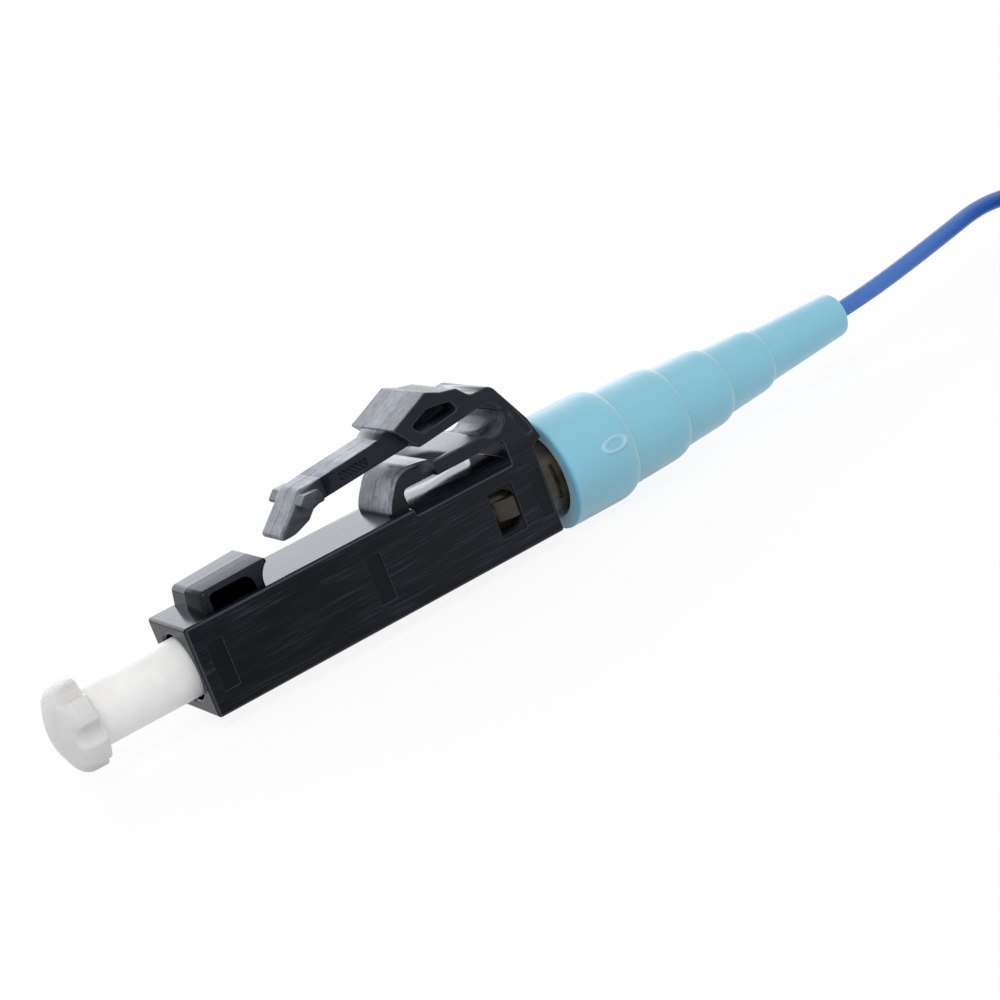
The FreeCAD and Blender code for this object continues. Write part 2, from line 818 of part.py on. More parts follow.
def make_ferrule(doc, sizes):
    body = new_body(doc, "ferrule")
    tip, radius, bevel = sizes.ferrule_tip, sizes.ferrule_radius, sizes.ferrule_chamfer
    back = tip + sizes.ferrule_length
    bore = sizes.fibre_bore_radius
    turned(body, "PartDesign::Revolution", "sleeve", [
        (tip, bore),
        (tip, radius - bevel),
        (tip + bevel, radius),
        (back, radius),
        (back, bore + sizes.ferrule_funnel),
        (back - sizes.ferrule_funnel_run, bore),
    ])
    return body


def make_ferrule_flange(doc, sizes):
    """A hexagonal collar and a tube that holds ferrule and buffer together."""
    body = new_body(doc, "ferrule_flange")
    collar = sketch_on(body, "YZ_Plane", "collar_section", sizes.throat_end)
    draw_outline(collar, ring_corners(6, sizes.flange_across / math.sqrt(3)))
    hexagon = body.newObject("PartDesign::Pad", "hexagon")
    hexagon.Profile = collar
    bind(hexagon, "Length", sizes.flange_end - sizes.throat_end)
    turned(body, "PartDesign::Revolution", "tube", [
        (sizes.flange_end - sizes.root_depth, 0.0),
        (sizes.sleeve_end, 0.0),
        (sizes.sleeve_end, sizes.sleeve_radius),
        (sizes.flange_end - sizes.root_depth, sizes.sleeve_radius),
    ])
    seat = sizes.ferrule_tip + sizes.ferrule_length
    turned(body, "PartDesign::Groove", "through_hole", [
        (0.0, 0.0),
        (sizes.sleeve_end + sizes.overshoot, 0.0),
        (sizes.sleeve_end + sizes.overshoot, sizes.buffer_bore_radius),
        (seat, sizes.buffer_bore_radius),
        (seat, sizes.ferrule_radius),
        (0.0, sizes.ferrule_radius),
    ])
    return body


def make_spring(doc, sizes):
    body = new_body(doc, "ferrule_spring")
    wire = sizes.spring_wire_radius
    section = sketch_on(body, "XZ_Plane", "wire_section")
    draw_outline(section, ring_corners(4, wire, sizes.flange_end + wire, sizes.spring_radius))
    coil = body.newObject("PartDesign::AdditiveHelix", "coil")
    coil.Profile = section
    coil.ReferenceAxis = (section, ["H_Axis"])
    coil.Mode = "height-turns-angle"
    bind(coil, "Height", sizes.rear_front - sizes.flange_end - wire * 2)
    bind(coil, "Turns", sizes.spring_turns)
    return body


# ---- rear body, liner and boot ----------------------------------------------


def make_rear_body(doc, sizes):
    """A tube that shuts the spring chamber, with a collar, a barbed stem and two lugs."""
    body = new_body(doc, "rear_body")
    tube, collar, stem = sizes.rear_tube_radius, sizes.collar_radius, sizes.stem_radius
    collar_start = sizes.bar_length + sizes.collar_gap
    bore, chamfer = sizes.liner_bore_radius, sizes.rear_tube_chamfer
    turned(body, "PartDesign::Revolution", "tube", [
        (sizes.rear_front, bore + chamfer),
        (sizes.rear_front, tube - chamfer),
        (sizes.rear_front + chamfer, tube),
        (collar_start, tube),
        (collar_start, collar),
        (sizes.collar_end, collar),
        (sizes.collar_end, stem),
        (sizes.barb_start, stem),
        (sizes.barb_start, stem + sizes.barb_height),
        (sizes.barb_start + sizes.barb_length, stem),
        (sizes.stem_end, stem),
        (sizes.stem_end, bore),
        (sizes.rear_front + chamfer, bore),
    ])
    rooted = tube - sizes.root_depth
    outline = sketch_on(body, "XY_Plane", "lug_outline")
    draw_outline(outline, [
        (sizes.lug_start, -rooted),
        (sizes.lug_start, -tube),
        (sizes.lug_crest, -sizes.lug_reach),
        (sizes.lug_end, -sizes.lug_reach),
        (sizes.lug_end, -rooted),
    ])
    lug = body.newObject("PartDesign::Pad", "lug")
    lug.Profile = outline
    lug.SideType = "Symmetric"
    bind(lug, "Length", sizes.lug_half * 2)
    mirror_across(doc, body, lug)
    start, high = sizes.collar_slot_start, sizes.collar_slot_half
    cut_side(doc, body, "collar_slot",
             box_corners(start, start + sizes.collar_slot_width, -high, high),
             collar, sizes.collar_slot_depth, False)
    return body


def make_liner(doc, sizes):
    body = new_body(doc, "liner_tube")
    turned(body, "PartDesign::Revolution", "tube", [
        (sizes.liner_start, sizes.liner_bore),
        (sizes.liner_start, sizes.liner_radius),
        (sizes.liner_end, sizes.liner_radius),
        (sizes.liner_end, sizes.liner_bore),
    ])
    return body


def make_boot(doc, sizes):
    """A soft sleeve in five lengths, each a little thinner than the last."""
    body = new_body(doc, "strain_relief_boot")
    front, end = sizes.boot_front, sizes.boot_end
    lip = sizes.boot_lip
    profile = [
        (front, sizes.boot_mouth_radius),
        (front, sizes.boot_ring - lip),
        (front + lip, sizes.boot_ring),
    ]
    lengths = [
        (sizes.boot_ring, sizes.boot_ring_end, sizes.boot_second),
        (sizes.boot_second, sizes.boot_second_end, sizes.boot_third),
        (sizes.boot_third, sizes.boot_third_end, sizes.boot_fourth),
        (sizes.boot_fourth, sizes.boot_fourth_end, sizes.boot_fifth),
        (sizes.boot_fifth, end, sizes.boot_fifth - lip),
    ]
    for narrow, stop, foot in lengths:
        profile += shoulder(narrow, stop, foot, sizes.boot_shoulder_run)
    bore = sizes.stem_radius + sizes.barb_height
    way = sizes.liner_radius + sizes.boot_clearance
    mouth_end = front + sizes.boot_mouth_depth
    liner_stop = sizes.liner_end + sizes.overshoot
    stem_stop = sizes.stem_end + sizes.overshoot
    profile += [
        (end, sizes.boot_exit_radius),
        (liner_stop, sizes.boot_exit_radius),
        (liner_stop, way),
        (stem_stop, way),
        (stem_stop, bore),
        (mouth_end, bore),
        (mouth_end, sizes.boot_mouth_radius),
    ]
    turned(body, "PartDesign::Revolution", "sleeve", profile)
    return body


def shoulder(radius, stop, foot, run):
    """Profile corners of a soft step down, as two bevels of a quarter round."""
    share = 1 - math.cos(math.radians(45))
    drop = radius - foot
    return [(stop - run, radius), (stop - run * share, radius - drop * share), (stop, foot)]


# ---- dust cap -----------------------------------------------------------------


def make_dust_cap(doc, sizes):
    body = new_body(doc, "dust_cap")
    stem, head = sizes.cap_stem_radius, sizes.cap_head_radius
    neck, band, nose = sizes.cap_neck, sizes.cap_band, sizes.cap_nose
    gate = sizes.cap_gate_radius
    rim = sizes.cap_rim
    turned(body, "PartDesign::Revolution", "turned_cap", [
        (nose, 0.0),
        (nose, gate),
        (sizes.cap_dome_x, sizes.cap_dome_reach),
        (band, head),
        (neck - rim, head),
        (neck, head - rim),
        (neck, stem),
        (sizes.cap_stem_end - sizes.cap_stem_chamfer, stem),
        (sizes.cap_stem_end, stem - sizes.cap_stem_chamfer),
        (sizes.cap_stem_end, 0.0),
    ])
    ahead = nose - sizes.overshoot
    flute = sketch_on(body, "YZ_Plane", "flute_outline", ahead)
    draw_circle(flute, sizes.cap_flute_radius,
                sizes.cap_flute_centre * cosine(sizes.cap_flute_angle),
                sizes.cap_flute_centre * sine(sizes.cap_flute_angle))
    cut = body.newObject("PartDesign::Pocket", "flute")
    cut.Profile = flute
    cut.Reversed = True
    bind(cut, "Length", neck - ahead)
    doc.recompute()
    ring = body.newObject("PartDesign::PolarPattern", "flutes")
    ring.Originals = [cut]
    ring.Axis = (origin_item(body, "X_Axis"), [""])
    ring.Angle = 360
    bind(ring, "Occurrences", sizes.cap_flutes)
    body.Tip = ring
    bore = sizes.cap_bore_radius
    turned(body, "PartDesign::Groove", "ferrule_socket", [
        (sizes.cap_bore_end, 0.0),
        (sizes.cap_stem_end + sizes.overshoot, 0.0),
        (sizes.cap_stem_end + sizes.overshoot, bore),
        (sizes.cap_bore_end, bore),
    ])
    return body


# ---- fibre ----------------------------------------------------------------------


def make_rod(doc, name, start, end, radius):
    body = new_body(doc, name)
    turned(body, "PartDesign::Revolution", "rod", [
        (start, 0.0), (end, 0.0), (end, radius), (start, radius)])
    return body


def cord_path(points):
    """Straight runs joined by tangent arcs, and the radii of those arcs."""
    edges = []
    radii = []
    here = points[0]
    for before, corner, after in zip(points, points[1:], points[2:]):
        arriving, leaving = corner - before, after - corner
        turn = arriving.getAngle(leaving)
        trim = min(0.45 * min(arriving.Length, leaving.Length), CORD_BEND * math.tan(turn / 2))
        radii.append(trim / math.tan(turn / 2))
        start = corner - arriving.normalize() * trim
        finish = corner + leaving.normalize() * trim
        towards = ((start + finish) * 0.5 - corner).normalize()
        centre = corner + towards * math.hypot(trim, radii[-1])
        middle = centre - towards * radii[-1]
        edges += [Part.LineSegment(here, start).toShape(),
                  Part.Arc(start, middle, finish).toShape()]
        here = finish
    edges.append(Part.LineSegment(here, points[-1]).toShape())
    return Part.Wire(edges), radii


def make_fibre_tail(doc, sizes):
    """The loose buffered fibre from the boot to its coil."""
    wire, radii = cord_path([Vector(*point) for point in CORD_ROUTE])
    radius = number(sizes.cord_radius)
    start = Vector(*CORD_ROUTE[0])
    heading = Vector(*CORD_ROUTE[1]) - start
    ring = Part.Wire([Part.makeCircle(radius, start, heading)])
    solid = wire.makePipeShell([ring], True, False)
    tail = doc.addObject("Part::Feature", "fibre_tail")
    tail.Label = "fibre_tail"
    tail.Shape = solid
    expected = math.pi * radius ** 2 * wire.Length
    print("fibre tail: arc radii", [round(value, 1) for value in radii],
          f"length {wire.Length:.1f}, volume {solid.Volume:.3f} of {expected:.3f}")
    wound = wound_length(sizes)
    print(f"fibre coil: {wound:.0f} mm wound, {wound + wire.Length:.0f} of {CORD_LENGTH:.0f} in all")
    return tail


def wound_length(sizes):
    """The fibre in the coil's rings of turns, the outermost ring being lower."""
    across = 2 * number(sizes.cord_radius)
    total = 0.0
    for ring in range(int(number(sizes.coil_rings))):
        turns = sizes.coil_turns_high if ring else sizes.coil_outer_turns
        radius = number(sizes.coil_outer_radius) - across * (ring + 0.5)
        total += 2 * math.pi * radius * number(turns)
    return total


def make_fibre_coil(doc, sizes):
    """The outer shape of the coiled fibre, with a step down to its outermost ring."""
    body = new_body(doc, "fibre_coil")
    across = sizes.cord_radius * 2
    outer, edge = sizes.coil_outer_radius, sizes.coil_edge
    inner = outer - across * sizes.coil_rings
    low, tall = across * sizes.coil_outer_turns, across * sizes.coil_turns_high
    step = outer - across
    section = sketch_on(body, "XZ_Plane", "bundle_section")
    draw_outline(section, [
        (inner, 0.0),
        (outer, 0.0),
        (outer, low - edge),
        (outer - edge, low),
        (step, low),
        (step, tall - edge),
        (step - edge, tall),
        (inner, tall),
    ])
    ring = body.newObject("PartDesign::Revolution", "ring")
    ring.Profile = section
    ring.ReferenceAxis = (section, ["V_Axis"])
    ring.Angle = 360
    return body


# ---- assembly ---------------------------------------------------------------------


def seat(piece, middle, height, x=0.0, y=0.0, z=0.0):
    """Stand a piece in the plug's place, shifted by x, y and z."""
    bind(piece, "Placement.Base.x", x - middle)
    bind(piece, "Placement.Base.y", y)
    bind(piece, "Placement.Base.z", z + height)


def build():
    doc = FreeCAD.newDocument("lc_plug")
    sizes = Sheet(doc)
    middle = (sizes.cap_nose + sizes.boot_end) / 2
    height = sizes.boot_ring
    flange_bore_start = sizes.ferrule_tip + sizes.ferrule_length
    cord = sizes.cord_radius
    pieces = [
        make_plug_housing(doc, sizes),
        make_latch_lever(doc, sizes),
        make_latch_hinge(doc, sizes),
        make_ferrule(doc, sizes),
        make_ferrule_flange(doc, sizes),
        make_spring(doc, sizes),
        make_rear_body(doc, sizes),
        make_liner(doc, sizes),
        make_boot(doc, sizes),
        make_dust_cap(doc, sizes),
        make_rod(doc, "glass_fibre", sizes.ferrule_tip, flange_bore_start, sizes.glass_radius),
        make_rod(doc, "buffer_held", flange_bore_start, sizes.sleeve_end, cord),
        make_rod(doc, "buffer_flex", sizes.sleeve_end, sizes.flex_end, cord),
        make_rod(doc, "buffer_in_boot", sizes.flex_end, sizes.boot_end, cord),
    ]
    for piece in pieces:
        seat(piece, middle, height)
    coil = make_fibre_coil(doc, sizes)
    seat(coil, middle, 0.0, sizes.coil_x, sizes.coil_y)
    tail = make_fibre_tail(doc, sizes)
    tail.Placement = Placement(Vector(-number(middle), 0, number(height)), Rotation())
    pieces += [coil, tail]
    doc.recompute()
    return doc, pieces


def check(doc, pieces):
    for item in doc.Objects:
        if "Invalid" in item.State or "Error" in item.State:
            raise RuntimeError(f"{item.Name} failed: {item.State}")
    for piece in pieces:
        if piece.Shape.isNull() or not piece.Shape.isValid():
            raise RuntimeError(f"{piece.Label} has no valid shape")


def write(pieces):
    os.makedirs("parts", exist_ok=True)
    for piece in pieces:
        piece.Shape.exportStep(f"parts/{piece.Label}.step")
        box = piece.Shape.BoundBox
        print(f"{piece.Label}: {len(piece.Shape.Solids)} solid, {piece.Shape.Volume:.2f} mm3, "
              f"x {box.XMin:.2f} to {box.XMax:.2f}, y {box.YMin:.2f} to {box.YMax:.2f}, "
              f"z {box.ZMin:.2f} to {box.ZMax:.2f}")


document, sub_parts = build()
check(document, sub_parts)
write(sub_parts)
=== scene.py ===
import logging
import math
from abc import ABC, abstractmethod
from collections.abc import Callable
from dataclasses import dataclass
from enum import Enum

import bmesh
import bpy
from bpy.types import Material, Mesh, Node, NodeSocket, NodeTree, Object
from mathutils import Matrix, Vector


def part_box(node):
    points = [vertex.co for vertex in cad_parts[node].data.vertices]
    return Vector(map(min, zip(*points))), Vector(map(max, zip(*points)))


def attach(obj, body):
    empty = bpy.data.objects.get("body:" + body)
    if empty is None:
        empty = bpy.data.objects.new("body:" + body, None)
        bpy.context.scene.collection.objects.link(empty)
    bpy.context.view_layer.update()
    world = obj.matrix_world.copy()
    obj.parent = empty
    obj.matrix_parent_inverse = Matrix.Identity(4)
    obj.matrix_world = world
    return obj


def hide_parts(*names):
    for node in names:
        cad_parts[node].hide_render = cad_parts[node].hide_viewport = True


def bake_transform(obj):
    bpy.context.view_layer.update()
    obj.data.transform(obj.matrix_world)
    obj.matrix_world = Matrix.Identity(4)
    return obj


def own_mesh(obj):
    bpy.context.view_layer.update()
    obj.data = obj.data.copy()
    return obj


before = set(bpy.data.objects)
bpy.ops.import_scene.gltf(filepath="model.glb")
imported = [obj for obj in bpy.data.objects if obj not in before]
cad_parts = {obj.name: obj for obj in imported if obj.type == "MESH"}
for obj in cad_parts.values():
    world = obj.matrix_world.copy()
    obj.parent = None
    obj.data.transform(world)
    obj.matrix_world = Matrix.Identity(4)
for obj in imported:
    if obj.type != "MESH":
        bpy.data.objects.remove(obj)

BMesh, BMEdge = bmesh.types.BMesh, bmesh.types.BMEdge
Colour = tuple[float, float, float]
Point = tuple[float, float]
Ends = tuple[tuple[float, float], ...]
Plane = tuple[Vector, Vector]
Rounding = Callable[[float, float], float]

log = logging.getLogger("fibre_plug")

MM = 0.001
MERGED = 1e-6  # how near two points are one, in metres
ON_CUT = 1e-7  # how near a cut a point counts as on it, in metres
LEAST = 1e-9  # what a divisor is kept above, in metres
FLUSH = 0.01 * MM  # how near a plane a point lies on it
ALONG, ASIDE, UP = Vector((1, 0, 0)), Vector((0, 1, 0)), Vector((0, 0, 1))


# ---- places ----


@dataclass(frozen=True)
class PlugAxes:
    """The plug's own axes: x back from its front face, z up from the fibre.

    Args:
        front: The front face's place along X, in metres.
        height: The fibre axis's height, in metres.
    """

    front: float
    height: float

    @classmethod
    def from_frame(cls) -> "PlugAxes":
        """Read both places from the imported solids."""
        low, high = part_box("strain_relief_boot")
        return cls(front=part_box("plug_housing")[0].x, height=(low.z + high.z) / 2)

    def at(self, x: float, y: float = 0.0, z: float = 0.0) -> Vector:
        """Give the point in the frame of a place in the plug's millimetres."""
        return Vector((self.front + x * MM, y * MM, self.height + z * MM))

    def spot(self, place: Vector) -> tuple[float, float, float]:
        """Give the plug's millimetres of a point in the frame."""
        return (place.x - self.front) / MM, place.y / MM, (place.z - self.height) / MM


AXES = PlugAxes.from_frame()


class Body(str, Enum):
    """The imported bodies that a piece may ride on."""

    PLUG = "plug"
    LATCH = "latch"
    FERRULE = "ferrule_group"
    CAP = "cap"


# ---- node trees ----


class Signal:
    """A node's output, which arithmetic extends with more Math nodes.

    Args:
        bench: The tree that the output belongs to.
        socket: The output itself.
    """

    def __init__(self, bench: "Bench", socket: NodeSocket) -> None:
        """Keep the tree and the output."""
        self.bench = bench
        self.socket = socket

    def math(self, operation: str, *others: "Signal | float") -> "Signal":
        """Put this signal first in a Math node."""
        return self.bench.math(operation, self, *others)

    def __add__(self, other: "Signal | float") -> "Signal":
        """Add a signal or a number."""
        return self.math("ADD", other)

    __radd__ = __add__

    def __sub__(self, other: "Signal | float") -> "Signal":
        """Take away a signal or a number."""
        return self.math("SUBTRACT", other)

    def __rsub__(self, other: float) -> "Signal":
        """Take this signal away from a number."""
        return self.bench.math("SUBTRACT", other, self)

    def __mul__(self, other: "Signal | float") -> "Signal":
        """Multiply by a signal or a number."""
        return self.math("MULTIPLY", other)

    __rmul__ = __mul__

    def __truediv__(self, other: "Signal | float") -> "Signal":
        """Divide by a signal or a number."""
        return self.math("DIVIDE", other)

    def __rtruediv__(self, other: float) -> "Signal":
        """Divide a number by this signal."""
        return self.bench.math("DIVIDE", other, self)

    def __pow__(self, other: float) -> "Signal":
        """Raise to a power."""
        return self.math("POWER", other)

    def __abs__(self) -> "Signal":
        """Take the sign away."""
        return self.math("ABSOLUTE")

    def capped(self) -> "Signal":
        """Keep it to 1 at most."""
        return self.math("MINIMUM", 1.0)

    def ramp(self, low: float, high: float, first: float = 0.0, last: float = 1.0) -> "Signal":
        """Go smoothly from one value to another between two levels.

        Args:
            low: The level of the first value.
            high: The level of the last value, above or below the other.
            first: The first value.
            last: The last value.

        Returns:
            The eased signal.
        """
        if low > high:
            low, high, first, last = high, low, last, first
        node = self.bench.add("ShaderNodeMapRange", {
            "Value": self, "From Min": low, "From Max": high, "To Min": first, "To Max": last},
            interpolation_type="SMOOTHSTEP")
        return Signal(self.bench, node.outputs["Result"])


class Bench:
    """A node tree, to which one method adds any node.

    Args:
        tree: The tree.
    """

    def __init__(self, tree: NodeTree) -> None:
        """Keep the tree."""
        self.tree = tree

    def add(self, kind: str, values: dict | None = None, **settings: str) -> Node:
        """Add a node.

        Args:
            kind: The node's type.
            values: What goes into its sockets, by name or number: numbers,
                colours, signals or outputs.
            settings: Its settings, which are set first.

        Returns:
            The node.
        """
        node = self.tree.nodes.new(kind)
        for name, value in settings.items():
            setattr(node, name, value)
        for name, value in (values or {}).items():
            socket = node.inputs[name]
            if isinstance(value, Signal):
                value = value.socket
            if isinstance(value, NodeSocket):
                self.tree.links.new(value, socket)
            else:
                socket.default_value = value
        return node

    def math(self, operation: str, *terms: "Signal | float") -> Signal:
        """Add a Math node and give its result."""
        node = self.add("ShaderNodeMath", dict(enumerate(terms)), operation=operation)
        return Signal(self, node.outputs["Value"])


@dataclass(frozen=True)
class Grain:
    """A noise's make.

    Args:
        along: How long one of its cells is along the plug, in millimetres.
        across: How wide and high a cell is, or 0 where it is as wide as long.
        detail: How many finer noises it adds.
        roughness: How strong they are.
    """

    along: float
    across: float = 0.0
    detail: float = 3.0
    roughness: float = 0.55


class Paint(Bench):
    """A material's tree, with the textures that the finishes share.

    Args:
        name: The material's name.
    """

    def __init__(self, name: str) -> None:
        """Start an empty material that reads the place on a piece."""
        self.material = bpy.data.materials.new(name)
        self.material.use_nodes = True
        super().__init__(self.material.node_tree)
        self.tree.nodes.clear()
        self.place = self.add("ShaderNodeTexCoord").outputs["Object"]

    def axes(self) -> tuple[Signal, Signal, Signal]:
        """Give the place in the plug's millimetres.

        Returns:
            The place along it, from side to side, and in height.
        """
        apart = self.add("ShaderNodeSeparateXYZ", {"Vector": self.place})
        x, y, z = (Signal(self, apart.outputs[letter]) for letter in "XYZ")
        return (x - AXES.front) / MM, y / MM, (z - AXES.height) / MM

    def noise(self, grain: Grain) -> Signal:
        """Add a noise.

        Args:
            grain: The noise's make.

        Returns:
            The noise, about 0.5 in the middle.
        """
        cell = [size * MM for size in (grain.along, grain.across or grain.along)]
        place = self.add("ShaderNodeMapping", {
            "Vector": self.place, "Scale": (1 / cell[0], 1 / cell[1], 1 / cell[1])})
        node = self.add("ShaderNodeTexNoise", {
            "Vector": place.outputs["Vector"], "Scale": 1.0,
            "Detail": grain.detail, "Roughness": grain.roughness})
        return Signal(self, node.outputs["Fac"])

    def blend(self, amount: Signal, first: Colour | NodeSocket, second: Colour) -> NodeSocket:
        """Mix two colours, of which the first may be an output, by a signal."""
        under = (*first, 1.0) if isinstance(first, tuple) else first
        return self.add("ShaderNodeMix", {"Factor": amount, 6: under, 7: (*second, 1.0)},
                        data_type="RGBA").outputs[2]

    def bump(self, height: Signal, depth: float, strength: float,
             under: NodeSocket | None = None) -> NodeSocket:
        """Turn a height signal into a normal.

        Args:
            height: The height, of which 1 is the depth.
            depth: The depth, in millimetres.
            strength: How much of it shows.
            under: The normal that it starts from, if it isn't the face's own.

        Returns:
            The normal.
        """
        values = {"Strength": strength, "Distance": depth * MM, "Height": height}
        if under is not None:
            values["Normal"] = under
        return self.add("ShaderNodeBump", values).outputs["Normal"]

    def surface(self, values: dict) -> Material:
        """Finish the material with a Principled shader.

        Args:
            values: What goes into the shader.

        Returns:
            The material.
        """
        shader = self.add("ShaderNodeBsdfPrincipled", values)
        self.add("ShaderNodeOutputMaterial", {"Surface": shader.outputs["BSDF"]})
        return self.material


# ---- finishes ----


Spot = tuple[Signal, Signal, Signal]


class Finish(ABC):
    """A look, of which one material is made for all the pieces that wear it."""

    @abstractmethod
    def make(self) -> Material:
        """Build the material.

        Returns:
            The material.
        """


@dataclass(frozen=True)
class Region:
    """A part of the moulding with soft ends, in the plug's millimetres.

    Each end is a pair: where the region is absent, and where it is full.

    Args:
        along: Its ends along the plug.
        up: Its ends in height.
        aside: Its ends away from the middle, the same on both sides.
        slope: How much its heights rise along the plug.
        share: How strong it is where it is full.
    """

    along: Ends = ()
    up: Ends = ()
    aside: Ends = ()
    slope: float = 0.0
    share: float = 1.0

    def mask(self, spot: Spot) -> Signal:
        """Give the region's strength.

        Args:
            spot: The place along the plug, the distance from the middle and the height.

        Returns:
            The share inside the region, and 0 outside.
        """
        x, side, z = spot
        height = z - x * self.slope if self.slope else z
        ramps = [line.ramp(*end) for line, ends in ((x, self.along), (side, self.aside), (height, self.up))
                 for end in ends]
        whole = math.prod(ramps[1:], start=ramps[0])
        return whole if self.share == 1.0 else whole * self.share


@dataclass(frozen=True)
class GlossBlack(Finish):
    """The glossy black of the moulding, with flow lines along it and frosted faces, with painted reflection
    and painted highlights on its long edges and on the grip's ribs.

    A tuple of four holds a ramp's two places and its two values.
    """

    deep: Colour = (0.0024, 0.0034, 0.005)  # between the flow lines
    reflection_grey: Colour = (0.014, 0.0165, 0.0215)  # painted reflection, greyer toward the rear and higher up
    flow_line_and_highlight: Colour = (0.047, 0.054, 0.07)  # on a flow line, and as painted highlight on the rim and the grip's rib crests
    matte: Colour = (0.36, 0.38, 0.435)  # on the frosted faces
    gloss: float = 0.12  # the polished faces' roughness
    frosted: float = 0.4  # the frosted faces' roughness
    index: float = 1.2  # low, for a weak mirror
    seam_y: float = 0.08  # the parting line
    black_line_y: float = 0.115  # the black line beside it, where less frost shows
    rib_pitch: float = 0.2
    rib_way: Point = (0.8, 0.9)  # how much of a step along or up leads across the ribs
    streaks: Grain = Grain(3.6, 0.055, 5.0, 0.7)  # the flow lines
    patches: Grain = Grain(3.0, 0.7, 2.0)  # what breaks them up
    broad: Grain = Grain(5.0, 0.45, 2.0)  # wide, faint waves
    mottle: Grain = Grain(0.7, 0.32, 4.0, 0.62)  # the frosted faces' stains
    fine: Grain = Grain(0.045, detail=2.0)  # their grain
    chips: Grain = Grain(0.8, 0.5, 1.0)  # what breaks up the black line
    rear: tuple = (3.0, 19.0, 0.0, 0.45)  # painted reflection along the plug
    upper: tuple = (2.3, 3.3, 0.0, 0.75)  # painted reflection in height
    faint: tuple = (2.24, 2.5, 1.0, 0.35)  # the flow lines in height
    pad: Region = Region(((12.2, 12.7), (15.45, 15.15)), ((5.85, 6.0),), ((2.235, 2.2),), share=0.76)
    pad_middle: float = 0.1  # where the pad is most frosted
    pad_fade: tuple = (0.95, 0.35, 0.55, 0.95)
    tip: Region = Region(((9.3, 8.2), (5.2, 5.9)), ((3.3, 3.5),), share=0.64)
    tip_fade: tuple = (1.14, 1.05, 0.25, 1.0)
    arch: Region = Region(((14.3, 12.6), (11.2, 11.4)), ((2.3, 2.5), (4.3, 4.1)), ((1.735, 1.7),),
                          share=0.85)
    arch_fade: tuple = (11.9, 12.7, 1.0, 0.6)
    arm: Region = Region(((8.1, 8.7), (12.3, 12.1)), ((4.43, 4.46),), ((1.15, 1.1),), slope=0.0965)
    channel: Region = Region(((13.6, 14.6), (19.2, 18.9)), ((3.3, 3.5), (5.45, 5.25)), ((2.2, 2.1),),
                             share=0.25)
    # a little frost in the guard's pockets, as painted reflection
    pocket: Region = Region(((1.8, 1.9), (4.2, 4.1)), ((2.27, 2.35), (3.15, 3.05)), ((1.84, 1.8),),
                            share=0.12)
    bar_floor: Region = Region(aside=((2.2, 2.16), (2.06, 2.1)))
    grip: Region = Region(((10.05, 10.1), (11.78, 11.73)), ((4.65, 4.72), (5.3, 5.2)),
                          ((1.1, 1.06), (0.96, 1.0)))
    rim: Region = Region(aside=((2.17, 2.2), (2.2485, 2.24)))  # painted highlight just inside the long edges
    guard_front: Region = Region(((1.8, 1.5),), ((2.2, 2.5),))
    seamed: Region = Region(((12.6, 12.2),), ((2.85, 2.95),))
    black_line_span: Region = Region(((12.5, 12.3),))

    def frost(self, spot: Spot, y: Signal) -> Signal:
        """Give how frosted each face is, with the guard's pockets frosted a little as painted reflection.

        Args:
            spot: The place along the plug, the distance from the middle and the height.
            y: The place from side to side.

        Returns:
            The frost, from 0 to 1.
        """
        x, side, _ = spot
        return (self.pad.mask(spot) * abs(y - self.pad_middle).ramp(*self.pad_fade)
                + self.tip.mask(spot) * side.ramp(*self.tip_fade)
                + self.arch.mask(spot) * x.ramp(*self.arch_fade)
                + self.arm.mask(spot) + self.channel.mask(spot) + self.pocket.mask(spot)).capped()

    def make(self) -> Material:
        """Build the material.

        Returns:
            The material.
        """
        paint = Paint("gloss_black")
        x, y, z = paint.axes()
        spot = (x, abs(y), z)
        streaks, broad, fine = (paint.noise(grain) for grain in (self.streaks, self.broad, self.fine))
        mottle = paint.noise(self.mottle).ramp(0.3, 0.72)
        frost = self.frost(spot, y)
        grip = self.grip.mask(spot)
        floor = (self.bar_floor.mask(spot) + grip).capped()
        across = x * self.rib_way[0] + z * self.rib_way[1]
        rib = (across * (2 * math.pi / self.rib_pitch)).math("SINE") * grip
        # flow lines, with the grip's rib crests painted paler as highlight
        lines = (streaks.ramp(0.47, 0.76) * paint.noise(self.patches).ramp(0.3, 0.65)
                 * (1 - floor) * z.ramp(*self.faint)) + rib.math("MAXIMUM", 0.0) * 0.6
        seam = abs(y - self.seam_y).ramp(0.045, 0.0) * self.seamed.mask(spot)
        black_line = (abs(y - self.black_line_y).ramp(0.05, 0.02) * self.black_line_span.mask(spot)
                  * paint.noise(self.chips).ramp(0.3, 0.45))
        # painted reflection, greyer toward the rear and higher up
        painted_reflection = x.ramp(*self.rear) + z.ramp(*self.upper)
        shade = paint.blend(painted_reflection * (broad * 0.6 + 0.7), self.deep, self.reflection_grey)
        shade = paint.blend(lines, shade, self.flow_line_and_highlight)
        # painted highlight along the long edges
        shade = paint.blend(self.rim.mask(spot) * (broad * 0.5 + 0.5), shade, self.flow_line_and_highlight)
        shade = paint.blend(frost * (mottle * 0.6 + 0.4) * (1 - black_line * 0.75), shade, self.matte)
        rough = (self.gloss + lines * 0.12 + broad * 0.06 + floor * 0.12
                 + frost * (self.frosted - self.gloss) * (0.6 + mottle * 0.4))
        waves = (streaks * 0.35 + broad * 0.6) * (1 - self.guard_front.mask(spot))
        even_bump = paint.bump(waves + (fine + mottle * 1.2) * frost * 1.2, 0.006, 0.6)
        return paint.surface({"Base Color": shade, "Roughness": rough, "IOR": self.index,
                              "Normal": paint.bump(seam + rib * 1.5, 0.03, 0.8, even_bump)})


